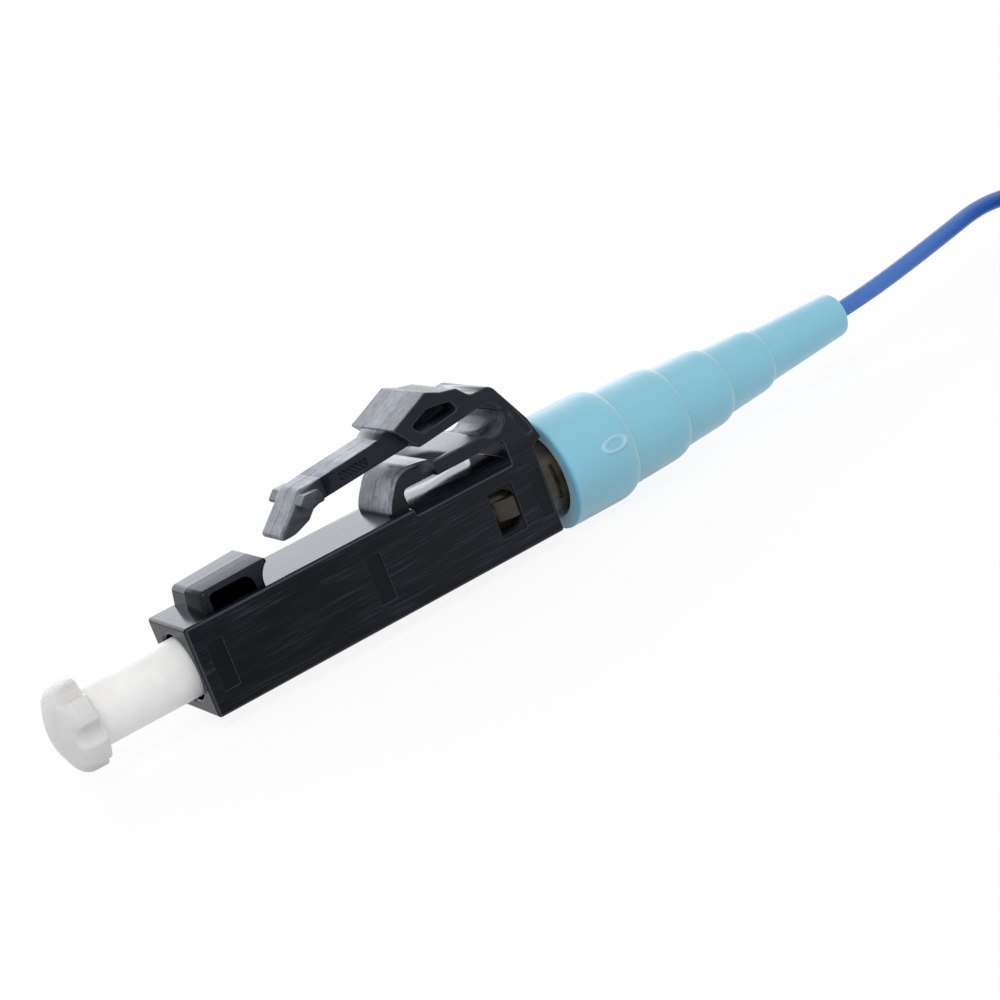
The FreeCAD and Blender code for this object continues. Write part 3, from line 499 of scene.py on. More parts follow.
@dataclass(frozen=True)
class SatinWhite(Finish):
    """The dust cap's soft white plastic, whose head has a coarser grain than its stem and is painted greyer
    as shade.
    """

    pale: Colour = (0.84, 0.835, 0.825)
    # painted shade, mostly on the head, and random clouding
    shade: Colour = (0.56, 0.555, 0.55)
    roughness: float = 0.4
    head: Point = (-4.9, -5.1)  # where the head's grain and painted shade start and are full
    cloud: Grain = Grain(1.2, detail=2.0)
    grain: Grain = Grain(0.09, detail=2.0, roughness=0.6)
    draw: Grain = Grain(3.0, 0.1)  # the stem's faint lines
    fixed: tuple = (("Subsurface Weight", 0.2), ("Subsurface Scale", 0.0008),
                    ("Subsurface Radius", (1.0, 0.95, 0.88)), ("IOR", 1.5))

    def make(self) -> Material:
        """Build the material.

        Returns:
            The material.
        """
        paint = Paint("satin_white")
        head = paint.axes()[0].ramp(*self.head)
        cloud, grain, draw = (paint.noise(each) for each in (self.cloud, self.grain, self.draw))
        # the head is painted greyer as shade; the cloud varies the tone at random
        return paint.surface({
            "Base Color": paint.blend(cloud.ramp(0.2, 0.9) * 0.3 + head * 0.7, self.pale, self.shade),
            "Roughness": self.roughness + (grain - 0.5) * head * 0.3,
            "Normal": paint.bump(grain * head * 3.0 + draw * (1 - head) * 0.35, 0.016, 0.8),
            **dict(self.fixed)})


@dataclass(frozen=True)
class SoftAqua(Finish):
    """The boot's matte aqua elastomer, with its moulded oval, whose line is painted paler as highlight, and
    with painted shade in its mouth.
    """

    mid: Colour = (0.2, 0.49, 0.615)
    pale: Colour = (0.24, 0.54, 0.665)
    # painted shade in the mouth
    mouth: Colour = (0.07, 0.31, 0.46)
    raised: Colour = (0.5, 0.76, 0.86)  # painted highlight on the oval's line
    roughness: float = 0.52
    mouth_shade_x: Point = (20.8, 20.58)  # where the mouth's painted shade starts and is full
    oval: Point = (23.45, 0.6)  # its place along the plug and its height
    oval_size: Point = (0.64, 0.32)  # half its length and half its height
    oval_line: float = 0.46875  # half its line's width, against half its height
    cloud: Grain = Grain(2.2, detail=2.0)
    grain: Grain = Grain(0.09, detail=4.0, roughness=0.6)
    scratches: Grain = Grain(1.6, 0.05, 1.0)
    scratched: Grain = Grain(2.4, 0.9, 1.0)
    fixed: tuple = (("Subsurface Weight", 0.4), ("Subsurface Scale", 0.0018),
                    ("Subsurface Radius", (0.5, 0.9, 1.0)), ("IOR", 1.65),
                    ("Sheen Weight", 1.0), ("Sheen Roughness", 0.4))

    def make(self) -> Material:
        """Build the material.

        Returns:
            The material.
        """
        paint = Paint("soft_aqua")
        x, y, z = paint.axes()
        cloud, grain = paint.noise(self.cloud), paint.noise(self.grain)
        far = (((x - self.oval[0]) / self.oval_size[0]) ** 2.0
               + ((z - self.oval[1]) / self.oval_size[1]) ** 2.0) ** 0.5
        oval = abs(far - 1.0).ramp(self.oval_line, 0.0) * y.ramp(0.0, -0.5)
        scratch = paint.noise(self.scratches).ramp(0.74, 0.8) * paint.noise(self.scratched).ramp(0.5, 0.6)
        # random cloud, real scratches, and the oval's line painted paler as highlight
        shade = paint.blend((cloud * 0.6 + oval * 0.6 + scratch * 0.5).capped(), self.mid, self.pale)
        # painted shade in the mouth
        shade = paint.blend(x.ramp(*self.mouth_shade_x), shade, self.mouth)
        # painted highlight on the oval's line
        return paint.surface({
            "Base Color": paint.blend(oval * 0.45, shade, self.raised),
            "Roughness": self.roughness + (grain - 0.5) * 0.2,
            "Normal": paint.bump(grain * 0.1 + oval * 1.2 + scratch * 0.15, 0.09, 0.8),
            **dict(self.fixed)})


@dataclass(frozen=True)
class SmokyPlastic(Finish):
    """The rear body's smoky brown plastic, which light goes through, painted darker inside the housing as
    shade.
    """

    tint: Colour = (0.075, 0.06, 0.04)  # behind the housing
    deep: Colour = (0.026, 0.02, 0.012)  # painted shade inside the housing
    # where the painted shade inside the housing starts and is full
    inside: Point = (19.2, 18.6)
    swirl: Grain = Grain(1.6, 0.7, 2.0)
    fixed: tuple = (("IOR", 1.42), ("Transmission Weight", 0.1))

    def make(self) -> Material:
        """Build the material.

        Returns:
            The material.
        """
        paint = Paint("smoky_plastic")
        # painted shade inside the housing
        painted_inside_shade = paint.axes()[0].ramp(*self.inside) * 0.6
        swirl = paint.noise(self.swirl)
        return paint.surface({
            "Base Color": paint.blend((swirl.ramp(0.25, 0.75) + painted_inside_shade).capped(), self.tint, self.deep),
            "Roughness": 0.2 + swirl * 0.12, "Normal": paint.bump(swirl, 0.01, 0.4),
            **dict(self.fixed)})


@dataclass(frozen=True)
class FibreJacket(Finish):
    """The satin blue of the buffered fibre."""

    blue: Colour = (0.04, 0.135, 0.44)
    lit: Colour = (0.055, 0.165, 0.5)
    cloud: Grain = Grain(1.6, detail=2.0)
    draw: Grain = Grain(0.35, detail=4.0, roughness=0.6)
    fine: Grain = Grain(0.05)

    def make(self) -> Material:
        """Build the material.

        Returns:
            The material.
        """
        paint = Paint("fibre_jacket")
        cloud, draw, fine = (paint.noise(each) for each in (self.cloud, self.draw, self.fine))
        return paint.surface({
            "Base Color": paint.blend(cloud, self.blue, self.lit),
            "Roughness": 0.36 + draw * 0.16, "IOR": 1.5,
            "Normal": paint.bump(draw + fine * 0.4, 0.006, 0.5)})


@dataclass(frozen=True)
class Plain(Finish):
    """A finish with a fine grain and no pattern, for the small inner pieces.

    Args:
        name: The material's name.
        first: One end of its colour.
        second: The other end of its colour.
        roughness: Its middle roughness.
        grain: The noise of its colour and surface.
        fixed: What else its shader is set to, the same all over.
    """

    name: str
    first: Colour
    second: Colour
    roughness: float
    grain: Grain
    fixed: tuple = ()

    def make(self) -> Material:
        """Build the material.

        Returns:
            The material.
        """
        paint = Paint(self.name)
        grain = paint.noise(self.grain)
        return paint.surface({
            "Base Color": paint.blend(grain, self.first, self.second),
            "Roughness": self.roughness + (grain - 0.5) * 0.2,
            "Normal": paint.bump(grain, 0.004, 0.5), **dict(self.fixed)})


METAL = (("Metallic", 1.0),)
ZIRCONIA = Plain("zirconia", (0.88, 0.87, 0.84), (0.93, 0.92, 0.9), 0.16, Grain(0.3, 0.05),
                 (("IOR", 2.1), ("Subsurface Weight", 0.1), ("Subsurface Scale", 0.0005)))
NICKEL = Plain("nickel_plate", (0.66, 0.63, 0.56), (0.75, 0.73, 0.66), 0.28, Grain(0.05, 0.6), METAL)
SPRING_STEEL = Plain("spring_steel", (0.5, 0.5, 0.5), (0.62, 0.61, 0.6), 0.3, Grain(0.04, 0.3), METAL)
GLASS = Plain("clear_glass", (0.93, 0.96, 0.98), (0.97, 0.98, 1.0), 0.06, Grain(0.4, 0.2),
              (("IOR", 1.46), ("Transmission Weight", 0.9)))
LINER = Plain("milky_liner", (0.72, 0.73, 0.73), (0.8, 0.8, 0.79), 0.4, Grain(0.8, 0.1),
              (("Subsurface Weight", 0.3), ("Subsurface Scale", 0.0008)))


class Paints:
    """Each finish, made once and shared by the pieces that wear it."""

    def __init__(self) -> None:
        """Start with no finish made."""
        self._made: dict[Finish, Material] = {}

    def get(self, finish: Finish) -> Material:
        """Give a finish's material, making it the first time."""
        if finish not in self._made:
            self._made[finish] = finish.make()
        return self._made[finish]


PAINTS = Paints()


# ---- mesh tools ----


def shown(name: str, data: object) -> Object:
    """Put something into the scene.

    Args:
        name: Its name.
        data: The mesh, curve, lamp or camera.

    Returns:
        The new object.
    """
    item = bpy.data.objects.new(name, data)
    bpy.context.scene.collection.objects.link(item)
    return item


def meshed(build: BMesh, name: str) -> Mesh:
    """Turn a mesh in the making into a named mesh.

    Args:
        build: The mesh in the making, which is used up.
        name: The name.

    Returns:
        The mesh.
    """
    mesh = bpy.data.meshes.new(name)
    build.to_mesh(mesh)
    build.free()
    return mesh


def add_piece(name: str, mesh: Mesh, finish: Finish) -> Object:
    """Put a mesh into the scene as a smooth piece with its finish.

    Args:
        name: The piece's name.
        mesh: Its mesh, in place.
        finish: The finish that it wears.

    Returns:
        The new object.
    """
    mesh.materials.clear()
    mesh.materials.append(PAINTS.get(finish))
    mesh.shade_smooth()
    return shown(name, mesh)


def settle(piece: Object, body: Body, slot: str, *nodes: str) -> None:
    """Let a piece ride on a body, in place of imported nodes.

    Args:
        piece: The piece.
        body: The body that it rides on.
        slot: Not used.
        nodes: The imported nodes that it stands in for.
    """
    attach(piece, body.value)
    if nodes:
        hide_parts(*nodes)
    log.info("%s: %d faces on %s", piece.name, len(piece.data.polygons), body.value)


def bridge(piece: Object, node: str, bodies: tuple[Body, Body],
           start: Vector, end: Vector) -> None:
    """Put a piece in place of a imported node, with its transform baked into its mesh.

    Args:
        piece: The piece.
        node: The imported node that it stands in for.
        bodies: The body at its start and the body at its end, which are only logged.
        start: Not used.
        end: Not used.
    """
    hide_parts(node)
    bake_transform(piece)
    log.info("%s: %d faces between %s", piece.name, len(piece.data.polygons),
             " and ".join(body.value for body in bodies))


def baked(piece: Object) -> Object:
    """Turn a piece's modifiers into plain mesh and remove them.

    Args:
        piece: The piece.

    Returns:
        The same piece.
    """
    seen = piece.evaluated_get(bpy.context.evaluated_depsgraph_get())
    mesh = bpy.data.meshes.new_from_object(seen)
    mesh.name = piece.name
    piece.modifiers.clear()
    piece.data = mesh
    return piece


def clean(node: str) -> BMesh:
    """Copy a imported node's mesh with its doubled points merged.

    Args:
        node: The node's name.

    Returns:
        The copy, in the making.
    """
    build = bmesh.new()
    build.from_mesh(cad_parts[node].data)
    bmesh.ops.remove_doubles(build, verts=build.verts, dist=MERGED)
    return build


def sliced(build: BMesh, plane: Plane, clear: bool = False) -> list[BMEdge]:
    """Divide a mesh along a plane, or clear what is behind it, and give the edges in the plane."""
    cut = bmesh.ops.bisect_plane(build, geom=build.verts[:] + build.edges[:] + build.faces[:],
                                 dist=ON_CUT, plane_co=plane[0], plane_no=plane[1], clear_inner=clear)
    return [item for item in cut["geom_cut"] if isinstance(item, BMEdge)]


def in_plane(side: BMEdge, plane: Plane) -> bool:
    """Tell whether an edge lies in a plane."""
    return all(abs((corner.co - plane[0]).dot(plane[1])) < FLUSH for corner in side.verts)


@dataclass(frozen=True)
class Arc:
    """An arc of a flat outline.

    Args:
        centre: Its centre.
        start: The spoke from its centre to where it starts.
        end: The spoke to where it ends.
    """

    centre: Vector
    start: Vector
    end: Vector

    @classmethod
    def in_corner(cls, back: Vector, here: Vector, on: Vector, radius: float,
                  share: float = math.inf) -> "Arc":
        """Fit an arc into a corner.

        Args:
            back: The way to the corner before.
            here: The corner.
            on: The way to the corner after.
            radius: The arc's radius, where there is room for it.
            share: How much of the shorter way it may take.

        Returns:
            The arc.
        """
        half = back.angle(on) / 2
        trim = min(radius / math.tan(half), share * min(back.length, on.length))
        back, on = back.normalized(), on.normalized()
        reach = trim * math.tan(half) / math.sin(half)
        centre = here + (back + on).normalized() * reach
        return cls(centre, here + back * trim - centre, here + on * trim - centre)

    @classmethod
    def between(cls, last: Vector, here: Vector, radius: float) -> "Arc":
        """Join two points by an arc, turning left where the radius is positive.

        Args:
            last: Where it starts.
            here: Where it ends.
            radius: Its radius, negative for a turn to the right.

        Returns:
            The arc.
        """
        way = here - last
        rise = math.sqrt(radius ** 2 - way.length_squared / 4)
        centre = (here + last) / 2 + Vector((-way.y, way.x)).normalized() * math.copysign(rise, radius)
        return cls(centre, last - centre, here - centre)

    @property
    def turns(self) -> float:
        """Give how far it turns, in degrees."""
        return abs(math.degrees(self.start.angle_signed(self.end)))

    def points(self, count: int) -> list[Vector]:
        """Divide the arc.

        Args:
            count: How many parts it is divided into.

        Returns:
            The ends of the parts, one more than there are parts.
        """
        turn, points = -self.start.angle_signed(self.end), []
        for part in range(count + 1):
            spoke = self.start.copy()
            spoke.rotate(Matrix.Rotation(turn * part / count, 2))
            points.append(self.centre + spoke)
        return points


def filleted(corners: list[tuple[float, float, float]], step: float = 12.0) -> list[Point]:
    """Round the corners of an open profile.

    Args:
        corners: Each corner's x and radius, and the radius it is rounded to.
        step: The turn between two points of a rounding, in degrees.

    Returns:
        The profile's points.
    """
    points: list[Point] = []
    for index, (x, y, radius) in enumerate(corners):
        if radius <= 0 or index in (0, len(corners) - 1):
            points.append((x, y))
            continue
        here = Vector((x, y))
        back, on = (Vector(corners[other][:2]) - here for other in (index - 1, index + 1))
        arc = Arc.in_corner(back, here, on, radius)
        points += [tuple(point) for point in arc.points(max(2, round(arc.turns / step)))]
    return points


def split_long(profile: list[Point], longest: float) -> list[Point]:
    """Divide the long steps of a profile.

    Args:
        profile: Its points.
        longest: The longest step that stays whole.

    Returns:
        The points, with those that divide the long steps.
    """
    points = [profile[0]]
    for (x0, y0), (x1, y1) in zip(profile, profile[1:]):
        count = max(1, math.ceil(math.hypot(x1 - x0, y1 - y0) / longest))
        points += [(x0 + (x1 - x0) * part / count, y0 + (y1 - y0) * part / count)
                   for part in range(1, count + 1)]
    return points


def lathe(name: str, profile: list[Point], segments: int) -> Mesh:
    """Turn a profile about the fibre axis into a closed mesh.

    Args:
        name: The mesh's name.
        profile: Points of x and radius in the plug's millimetres. A profile that
            starts or ends on the axis gets a pole there, and another is a loop.
        segments: How many faces go round.

    Returns:
        The mesh.
    """
    build, rings, on_axis = bmesh.new(), [], 1e-6
    turns = [2 * math.pi * part / segments for part in range(segments)]
    for x, radius in profile:
        if radius < on_axis:
            rings.append([build.verts.new(AXES.at(x))] * segments)
        else:
            rings.append([build.verts.new(AXES.at(x, radius * math.cos(turn), radius * math.sin(turn)))
                          for turn in turns])
    if profile[0][1] > on_axis and profile[-1][1] > on_axis:
        rings.append(rings[0])
    for near, far in zip(rings, rings[1:]):
        for part in range(segments):
            after = (part + 1) % segments
            corners = list(dict.fromkeys((near[part], near[after], far[after], far[part])))
            if len(corners) > 2:
                build.faces.new(corners)
    bmesh.ops.recalc_face_normals(build, faces=build.faces)
    return meshed(build, name)


@dataclass(frozen=True)
class Corner:
    """A corner of a side outline, in the plug's millimetres.

    Args:
        x: Its place along the plug.
        z: Its height.
        arc: The radius of the arc that leads to it, turning left when positive.
        ease: The radius that the corner itself is rounded to. Below 0, it shades sharp.
    """

    x: float
    z: float
    arc: float = 0.0
    ease: float = 0.0

    @property
    def place(self) -> Vector:
        """Give its place in the side view."""
        return Vector((self.x, self.z))


def traced(corners: list[Corner], step: float = 6.0) -> list[Vector]:
    """Draw a closed outline with its arcs and its rounded corners.

    Args:
        corners: The corners, going round to the left.
        step: The turn between two points of a curve, in degrees.

    Returns:
        The outline's points, with a corner that shades sharp twice.
    """
    rough: list[tuple[Vector, float]] = []
    for last, corner in zip([corners[-1], *corners], corners):
        if corner.arc:
            arc = Arc.between(last.place, corner.place, corner.arc)
            rough += [(point, 0.0) for point in arc.points(max(1, math.ceil(arc.turns / step)))[1:-1]]
        rough.append((corner.place, corner.ease))
    points: list[Vector] = []
    for index, (here, ease) in enumerate(rough):
        if ease <= 0:
            points.extend([here, here.copy()] if ease < 0 else [here])
            continue
        back, on = rough[index - 1][0] - here, rough[(index + 1) % len(rough)][0] - here
        arc = Arc.in_corner(back, here, on, ease, share=0.48)
        points += arc.points(max(2, math.ceil(arc.turns / (2 * step))))
    return points


@dataclass
class SidePrism:
    """A solid with one outline from side to side and rounded long edges.

    Args:
        corners: The outline's corners.
        low: Its near side, across the plug in millimetres.
        high: Its far side.
        near_edge: How far each outline point's near edge is rounded.
        far_edge: How far each outline point's far edge is rounded.
        camber: How much its faces shade as leaning to the near side, and how that grows.
        start: Where that starts.
        steps: How many faces a rounding has.
    """

    corners: list[Corner]
    low: float
    high: float
    near_edge: Rounding
    far_edge: Rounding
    camber: Point = (0.0, 0.0)
    start: float = 0.0
    steps: int = 4

    @staticmethod
    def facings(points: list[Vector]) -> list[tuple[Vector, Vector]]:
        """Find which way the outline faces at each point.

        Args:
            points: The outline's points.

        Returns:
            For each point, the way out of the solid, and the way along which a
            rounding draws the point in.
        """
        ways = []
        for index, here in enumerate(points):
            steps = [here - points[index - 1], points[(index + 1) % len(points)] - here]
            out = Vector((steps[0].y + steps[1].y, -steps[0].x - steps[1].x)).normalized()
            shift = out
            if min(step.length for step in steps) < 1e-9:
                steps = [here - points[index - 2], points[(index + 2) % len(points)] - here]
                faces = [Vector((step.y, -step.x)).normalized() for step in steps]
                shift = max(faces, key=lambda face: abs(face.y))
            ways.append((out, shift))
        return ways

    def lean(self, across: float) -> float:
        """Give how much a face shades as leaning, at a place from side to side."""
        gone = self.start - across
        return self.camber[0] + gone * self.camber[1] if gone > -1e-6 else 0.0

    def add_to(self, build: BMesh, normals: list[Vector]) -> None:
        """Add the solid to a mesh in the making.

        Args:
            build: The mesh.
            normals: The normals of its points so far, which this extends.
        """
        points, rings = traced(self.corners), []
        ways = self.facings(points)
        for way, face, edge in ((-1, self.low, self.near_edge), (1, self.high, self.far_edge)):
            for part in range(self.steps + 1)[::-way]:
                turn = math.pi / 2 * (1 - part / self.steps)
                ring = []
                for here, (out, shift) in zip(points, ways):
                    size = edge(*here)
                    across = face - way * size * (1 - math.sin(turn))
                    moved = here - shift * size * (1 - math.cos(turn))
                    ring.append(build.verts.new(AXES.at(moved.x, across, moved.y)))
                    tilt = self.lean(across) * (1 + abs(out.x))
                    normals.append(Vector((out.x * math.cos(turn),
                                           way * math.sin(turn) - tilt * math.cos(turn),
                                           out.y * math.cos(turn))).normalized())
                rings.append(ring)
        for near, far in zip(rings, rings[1:]):
            for index in range(len(points)):
                after = (index + 1) % len(points)
                build.faces.new((near[index], far[index], far[after], near[after]))
        caps = [build.faces.new(rings[0]), build.faces.new(rings[-1][::-1])]
        bmesh.ops.triangulate(build, faces=caps)


def prisms(name: str, solids: list[SidePrism], finish: Finish) -> Object:
    """Make one piece of several side prisms.

    Args:
        name: The piece's name.
        solids: The prisms.
        finish: The finish that it wears.

    Returns:
        The piece.
    """
    build = bmesh.new()
    normals: list[Vector] = []
    for solid in solids:
        solid.add_to(build, normals)
    piece = add_piece(name, meshed(build, name), finish)
    piece.data.normals_split_custom_set_from_vertices(normals)
    return piece


def even(size: float) -> Rounding:
    """Give the same rounding at every point of an outline."""
    return lambda x, z: size


# ---- rule-following pieces ----


class Recipe(Bench):
    """A Geometry Nodes tree with named sizes.

    Args:
        name: The tree's name.
    """

    def __init__(self, name: str) -> None:
        """Start a tree with geometry in and geometry out."""
        super().__init__(bpy.data.node_groups.new(name, "GeometryNodeTree"))
        for way in ("INPUT", "OUTPUT"):
            self.tree.interface.new_socket("Geometry", in_out=way, socket_type="NodeSocketGeometry")
        self.given = self.add("NodeGroupInput")

    def sizes(self, values: dict[str, float]) -> list[Signal]:
        """Add named sizes to the tree's inputs.

        Args:
            values: The inputs' names, with the values that they have by default.

        Returns:
            The sizes as signals.
        """
        for name, value in values.items():
            made = self.tree.interface.new_socket(name, in_out="INPUT", socket_type="NodeSocketFloat")
            made.default_value = value
        return [Signal(self, self.given.outputs[name]) for name in values]

    def close(self, geometry: NodeSocket, finish: Finish) -> None:
        """End the tree in realized geometry that wears a finish.

        Args:
            geometry: The finished geometry.
            finish: The finish.
        """
        real = self.add("GeometryNodeRealizeInstances", {"Geometry": geometry})
        dressed = self.add("GeometryNodeSetMaterial", {
            "Geometry": real.outputs[0], "Material": PAINTS.get(finish)})
        self.add("NodeGroupOutput", {"Geometry": dressed.outputs[0]})

    def grow(self, piece: Object, sizes: dict[str, float]) -> None:
        """Run the tree on a piece and keep the result as plain mesh.

        Args:
            piece: The blank that the tree starts from.
            sizes: The values of the named inputs.
        """
        modifier = piece.modifiers.new("recipe", "NODES")
        modifier.node_group = self.tree
        for item in self.tree.interface.items_tree:
            if item.in_out == "INPUT" and item.name in sizes:
                modifier[item.identifier] = sizes[item.name]
        baked(piece).data.shade_smooth()


# ---- the moulding ----


@dataclass
class Moulding:
    """The housing, its web and its latch lever, which are one moulding."""

    edge: float = 0.07  # how far an outer edge is rounded
    sharp: float = 28.0  # the least angle of an edge that is rounded
    flat: float = 0.5  # the greatest angle between faces that are made one
    hinge: Point = (17.85, 4.38)  # the relief hole
    web_radius: float = 1.06  # from the hole to the web's middle
    web_low: float = 10.0  # the angle where the housing ends
    web_high: float = 50.0  # the angle where the lever starts
    web_step: int = 4  # the angle between two divisions
    housing_cuts: tuple = (3.0, 9.7, 17.0, 19.35)  # where its faces are divided along the plug
    lever_cuts: tuple = (10.9, 15.2)
    tip_end: float = 9.2  # where the wedge joins the latch's arm
    arch_end: float = 14.35  # where the arch's crown joins the beam
    bar_top: float = 2.25
    raised: tuple = ((1.29, 5.04, 1.86), (11.5, 14.35, 1.76))  # forms taken off: start, end and half width
    fine_share: float = 0.5
    # Boxes round the small recesses: along, up, and the least depth aside.
    fine: tuple = ((0.5, 19.5, -1.4, 1.4, 1.2), (18.3, 19.3, 3.4, 5.1, 2.1), (10.0, 11.8, 4.7, 5.25, 1.0))
    crown_end: float = 15.5  # up to here the crown keeps its edges sharp

    def build(self) -> None:
        """Make every piece of the moulding."""
        self.rounded("plug_housing", Body.PLUG, self.housing_cuts, self.web_low)
        self.rounded("latch_lever", Body.LATCH, self.lever_cuts, self.web_high)
        self.web()
        for name, body, solids in (("guard_block", Body.PLUG, self.guard()),
                                   ("latch_tip", Body.LATCH, self.tip()),
                                   ("arch_leg", Body.PLUG, self.arch())):
            settle(prisms(name, solids, GlossBlack()), body, "housing_black")

    def guard(self) -> list[SidePrism]:
        """Shape the guard block.

        Returns:
            A middle slab in two halves, and two cheeks with a pocket each.
        """
        half, core, sunk, seam = 1.85, 0.75, 1.9, 0.08
        crown = [Corner(5.02, 3.2, -1.1, 0.03), Corner(5.02, 3.4, 0, 0.1), Corner(1.46, 3.27, 0, 0.34),
                 Corner(1.3, self.bar_top), Corner(1.3, sunk)]
        slab = [Corner(4.56, sunk), Corner(4.56, 2.4, 0, 0.05), *crown]
        notch = [Corner(1.86, sunk), Corner(1.86, 2.78), Corner(2.11, 3.03, -0.25),
                 Corner(3.56, 3.03), Corner(4.06, 2.53, -0.5), Corner(4.06, sunk)]
        cheek = notch + slab
        camber, thin = (0.07, 0.05), even(0.01)

        def outer(x: float, z: float) -> float:
            """Round the block's own edge much, and the pocket's a little."""
            if 1.8 < x < 4.1 and z < 3.1:
                return 0.05
            return 0.3 if x < 1.9 and z > 2.6 else 0.2 if x < 1.9 else 0.12

        return [SidePrism(slab, seam, core, thin, thin),
                SidePrism(slab, -core, seam, thin, thin, camber, seam),
                SidePrism(cheek, -half, -core, outer, thin, camber, seam),
                SidePrism(cheek, core, half, thin, outer)]

    def arch(self) -> list[SidePrism]:
        """Shape the arch in front of the beam.

        Returns:
            Its leg and crown, as one.
        """
        end, back, half, thin = self.arch_end, 12.6, 1.75, 0.01
        outline = [Corner(11.56, 1.9), Corner(back, 1.9), Corner(back, 2.86), Corner(12.9, 3.16, -0.3),
                   Corner(end, 3.16, 0, -1), Corner(end, 3.93, 0, -1), Corner(13.58, 4.03, 3.2),
                   Corner(12.08, 3.35, 1.35), Corner(11.56, 2.45, 3.0)]

        def edge(x: float, z: float) -> float:
            """Round the outer edge much, the opening's a little."""
            if x > end - 0.01:
                return thin
            return 0.06 if x > back - 0.05 and z < 3.2 else 0.2 * min(1.0, (end - x) / 0.8) + 0.02

        return [SidePrism(outline, -half, half, edge, edge)]

    def tip(self) -> list[SidePrism]:
        """Shape the latch's tip.

        Returns:
            Its wedge, and a lug on each side.
        """
        end, half, inner, outer = self.tip_end, 1.15, 0.85, 1.88
        wedge = [Corner(end, 4.388, 0, -1), Corner(end, 5.371, 0, -1), Corner(8.05, 5.26, 0, 0.5),
                 Corner(6.03, 3.4, 0, 0.2), Corner(7.15, 3.41, 0, 1.2),
                 Corner(8.05, 3.74, 0, 0.5), Corner(8.42, 4.12, 0, 0.3), Corner(9.05, 4.38, 0, 1.0)]
        lug = [Corner(7.94, 5.12, 0, 0.18), Corner(7.5, 4.7, 0, 0.15), Corner(7.8, 4.47, 0, 0.15),
               Corner(8.82, 4.47, 0, 0.13), Corner(8.72, 5.12, 0, 0.15)]

        def edge(x: float, z: float) -> float:
            """Round the wedge's edges fully and the arm's less."""
            share = min(1.0, max(0.0, (9.1 - x) / 0.9))
            return 0.07 + 0.19 * share * share * (3 - 2 * share) - 0.09 * min(1.0, max(0.0, 7.0 - x))

        return [SidePrism(wedge, -half, half, edge, edge),
                SidePrism(lug, -outer, -inner, even(0.11), even(0.02)),
                SidePrism(lug, inner, outer, even(0.02), even(0.11))]

    def joint(self, angle: float) -> Plane:
        """Give the plane of a joint face of the web."""
        turn = math.radians(angle)
        return AXES.at(self.hinge[0], 0.0, self.hinge[1]), Vector((-math.sin(turn), 0.0, math.cos(turn)))

    def whole_faces(self, node: str, cuts: tuple = ()) -> BMesh:
        """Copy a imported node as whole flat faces, with no face round a hole.

        Args:
            node: The node's name.
            cuts: Places along the plug where faces are divided.

        Returns:
            The copy.
        """
        build = clean(node)
        planes = [(AXES.at(x), ALONG) for x in cuts] + [(AXES.at(0.0), ASIDE), (AXES.at(0.0), UP)]
        if node == "plug_housing":
            planes += [(AXES.at(self.arch_end), ALONG), (AXES.at(0, 0, self.bar_top), UP)]
        for plane in planes:
            for side in sliced(build, plane):
                side.seam = True
        bmesh.ops.dissolve_limit(build, angle_limit=math.radians(self.flat), verts=build.verts,
                                 edges=build.edges, delimit={"SEAM"})
        return build

    def rounded(self, node: str, body: Body, cuts: tuple, angle: float) -> None:
        """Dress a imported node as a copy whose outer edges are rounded.

        Args:
            node: The node's name.
            body: The body that it rides on.
            cuts: Places along the plug where faces are divided.
            angle: The angle of its joint face on the web, whose edges stay sharp.
        """
        build = self.whole_faces(node, cuts)
        if node == "plug_housing":
            for start, end, half in self.raised:
                self.take_off(build, start, end, half)
        else:
            rim = sliced(build, (AXES.at(self.tip_end), ALONG), clear=True)
            bmesh.ops.holes_fill(build, edges=rim, sides=0)
        flush = [self.joint(angle)] + [(AXES.at(place), ALONG) for place in (self.tip_end, self.arch_end)]
        self.weigh(build, flush, self.share)
        settle(self.eased(node + "_moulded", build), body, "housing_black", node)

    def take_off(self, build: BMesh, start: float, end: float, half: float) -> None:
        """Take a raised form off the copy and close the hole that it leaves.

        Args:
            build: The copy.
            start: Where the form starts along the plug.
            end: Where it ends.
            half: How far it reaches to each side.
        """
        slack, low = 0.004, self.bar_top
        doomed = []
        for face in build.faces:
            spots = [AXES.spot(corner.co) for corner in face.verts]
            inside = all(start - slack < x < end + slack and abs(y) < half + slack and z > low - slack
                         for x, y, z in spots)
            floor = all(z < low + slack for _, _, z in spots)
            wall = all(x > end - slack for x, _, _ in spots)
            if inside and not floor and not wall:
                doomed.append(face)
        log.info("plain form at %.1f: %d faces replaced", start, len(doomed))
        bmesh.ops.delete(build, geom=doomed, context="FACES")
        rim = [side for side in build.edges if len(side.link_faces) == 1]
        bmesh.ops.holes_fill(build, edges=rim, sides=0)

    def share(self, side: BMEdge) -> float:
        """Give how much of the full rounding an edge gets.

        Args:
            side: The edge.

        Returns:
            The share: less round a recess, and none on the arch's crown.
        """
        ends = [(x, abs(y), z) for x, y, z in (AXES.spot(corner.co) for corner in side.verts)]
        for left, right, low, high, depth in self.fine:
            if all(left < x < right and low < z < high and y > depth for x, y, z in ends):
                return self.fine_share
        crown = all(self.arch_end - 0.01 < x < self.crown_end and y < 1.8 and z > 3.84 for x, y, z in ends)
        return 0.0 if crown else 1.0

    def weigh(self, build: BMesh, flush: list[Plane], share: Callable[[BMEdge], float]) -> None:
        """Give each edge that is rounded its share of the rounding.

        Args:
            build: The mesh in the making.
            flush: The planes of the joint faces, whose edges stay sharp.
            share: Gives an edge's share.
        """
        weight = build.edges.layers.float.new("bevel_weight_edge")
        for side in build.edges:
            outer = len(side.link_faces) == 2 and side.calc_face_angle(0) > math.radians(self.sharp)
            if outer and not any(in_plane(side, plane) for plane in flush):
                side[weight] = share(side)

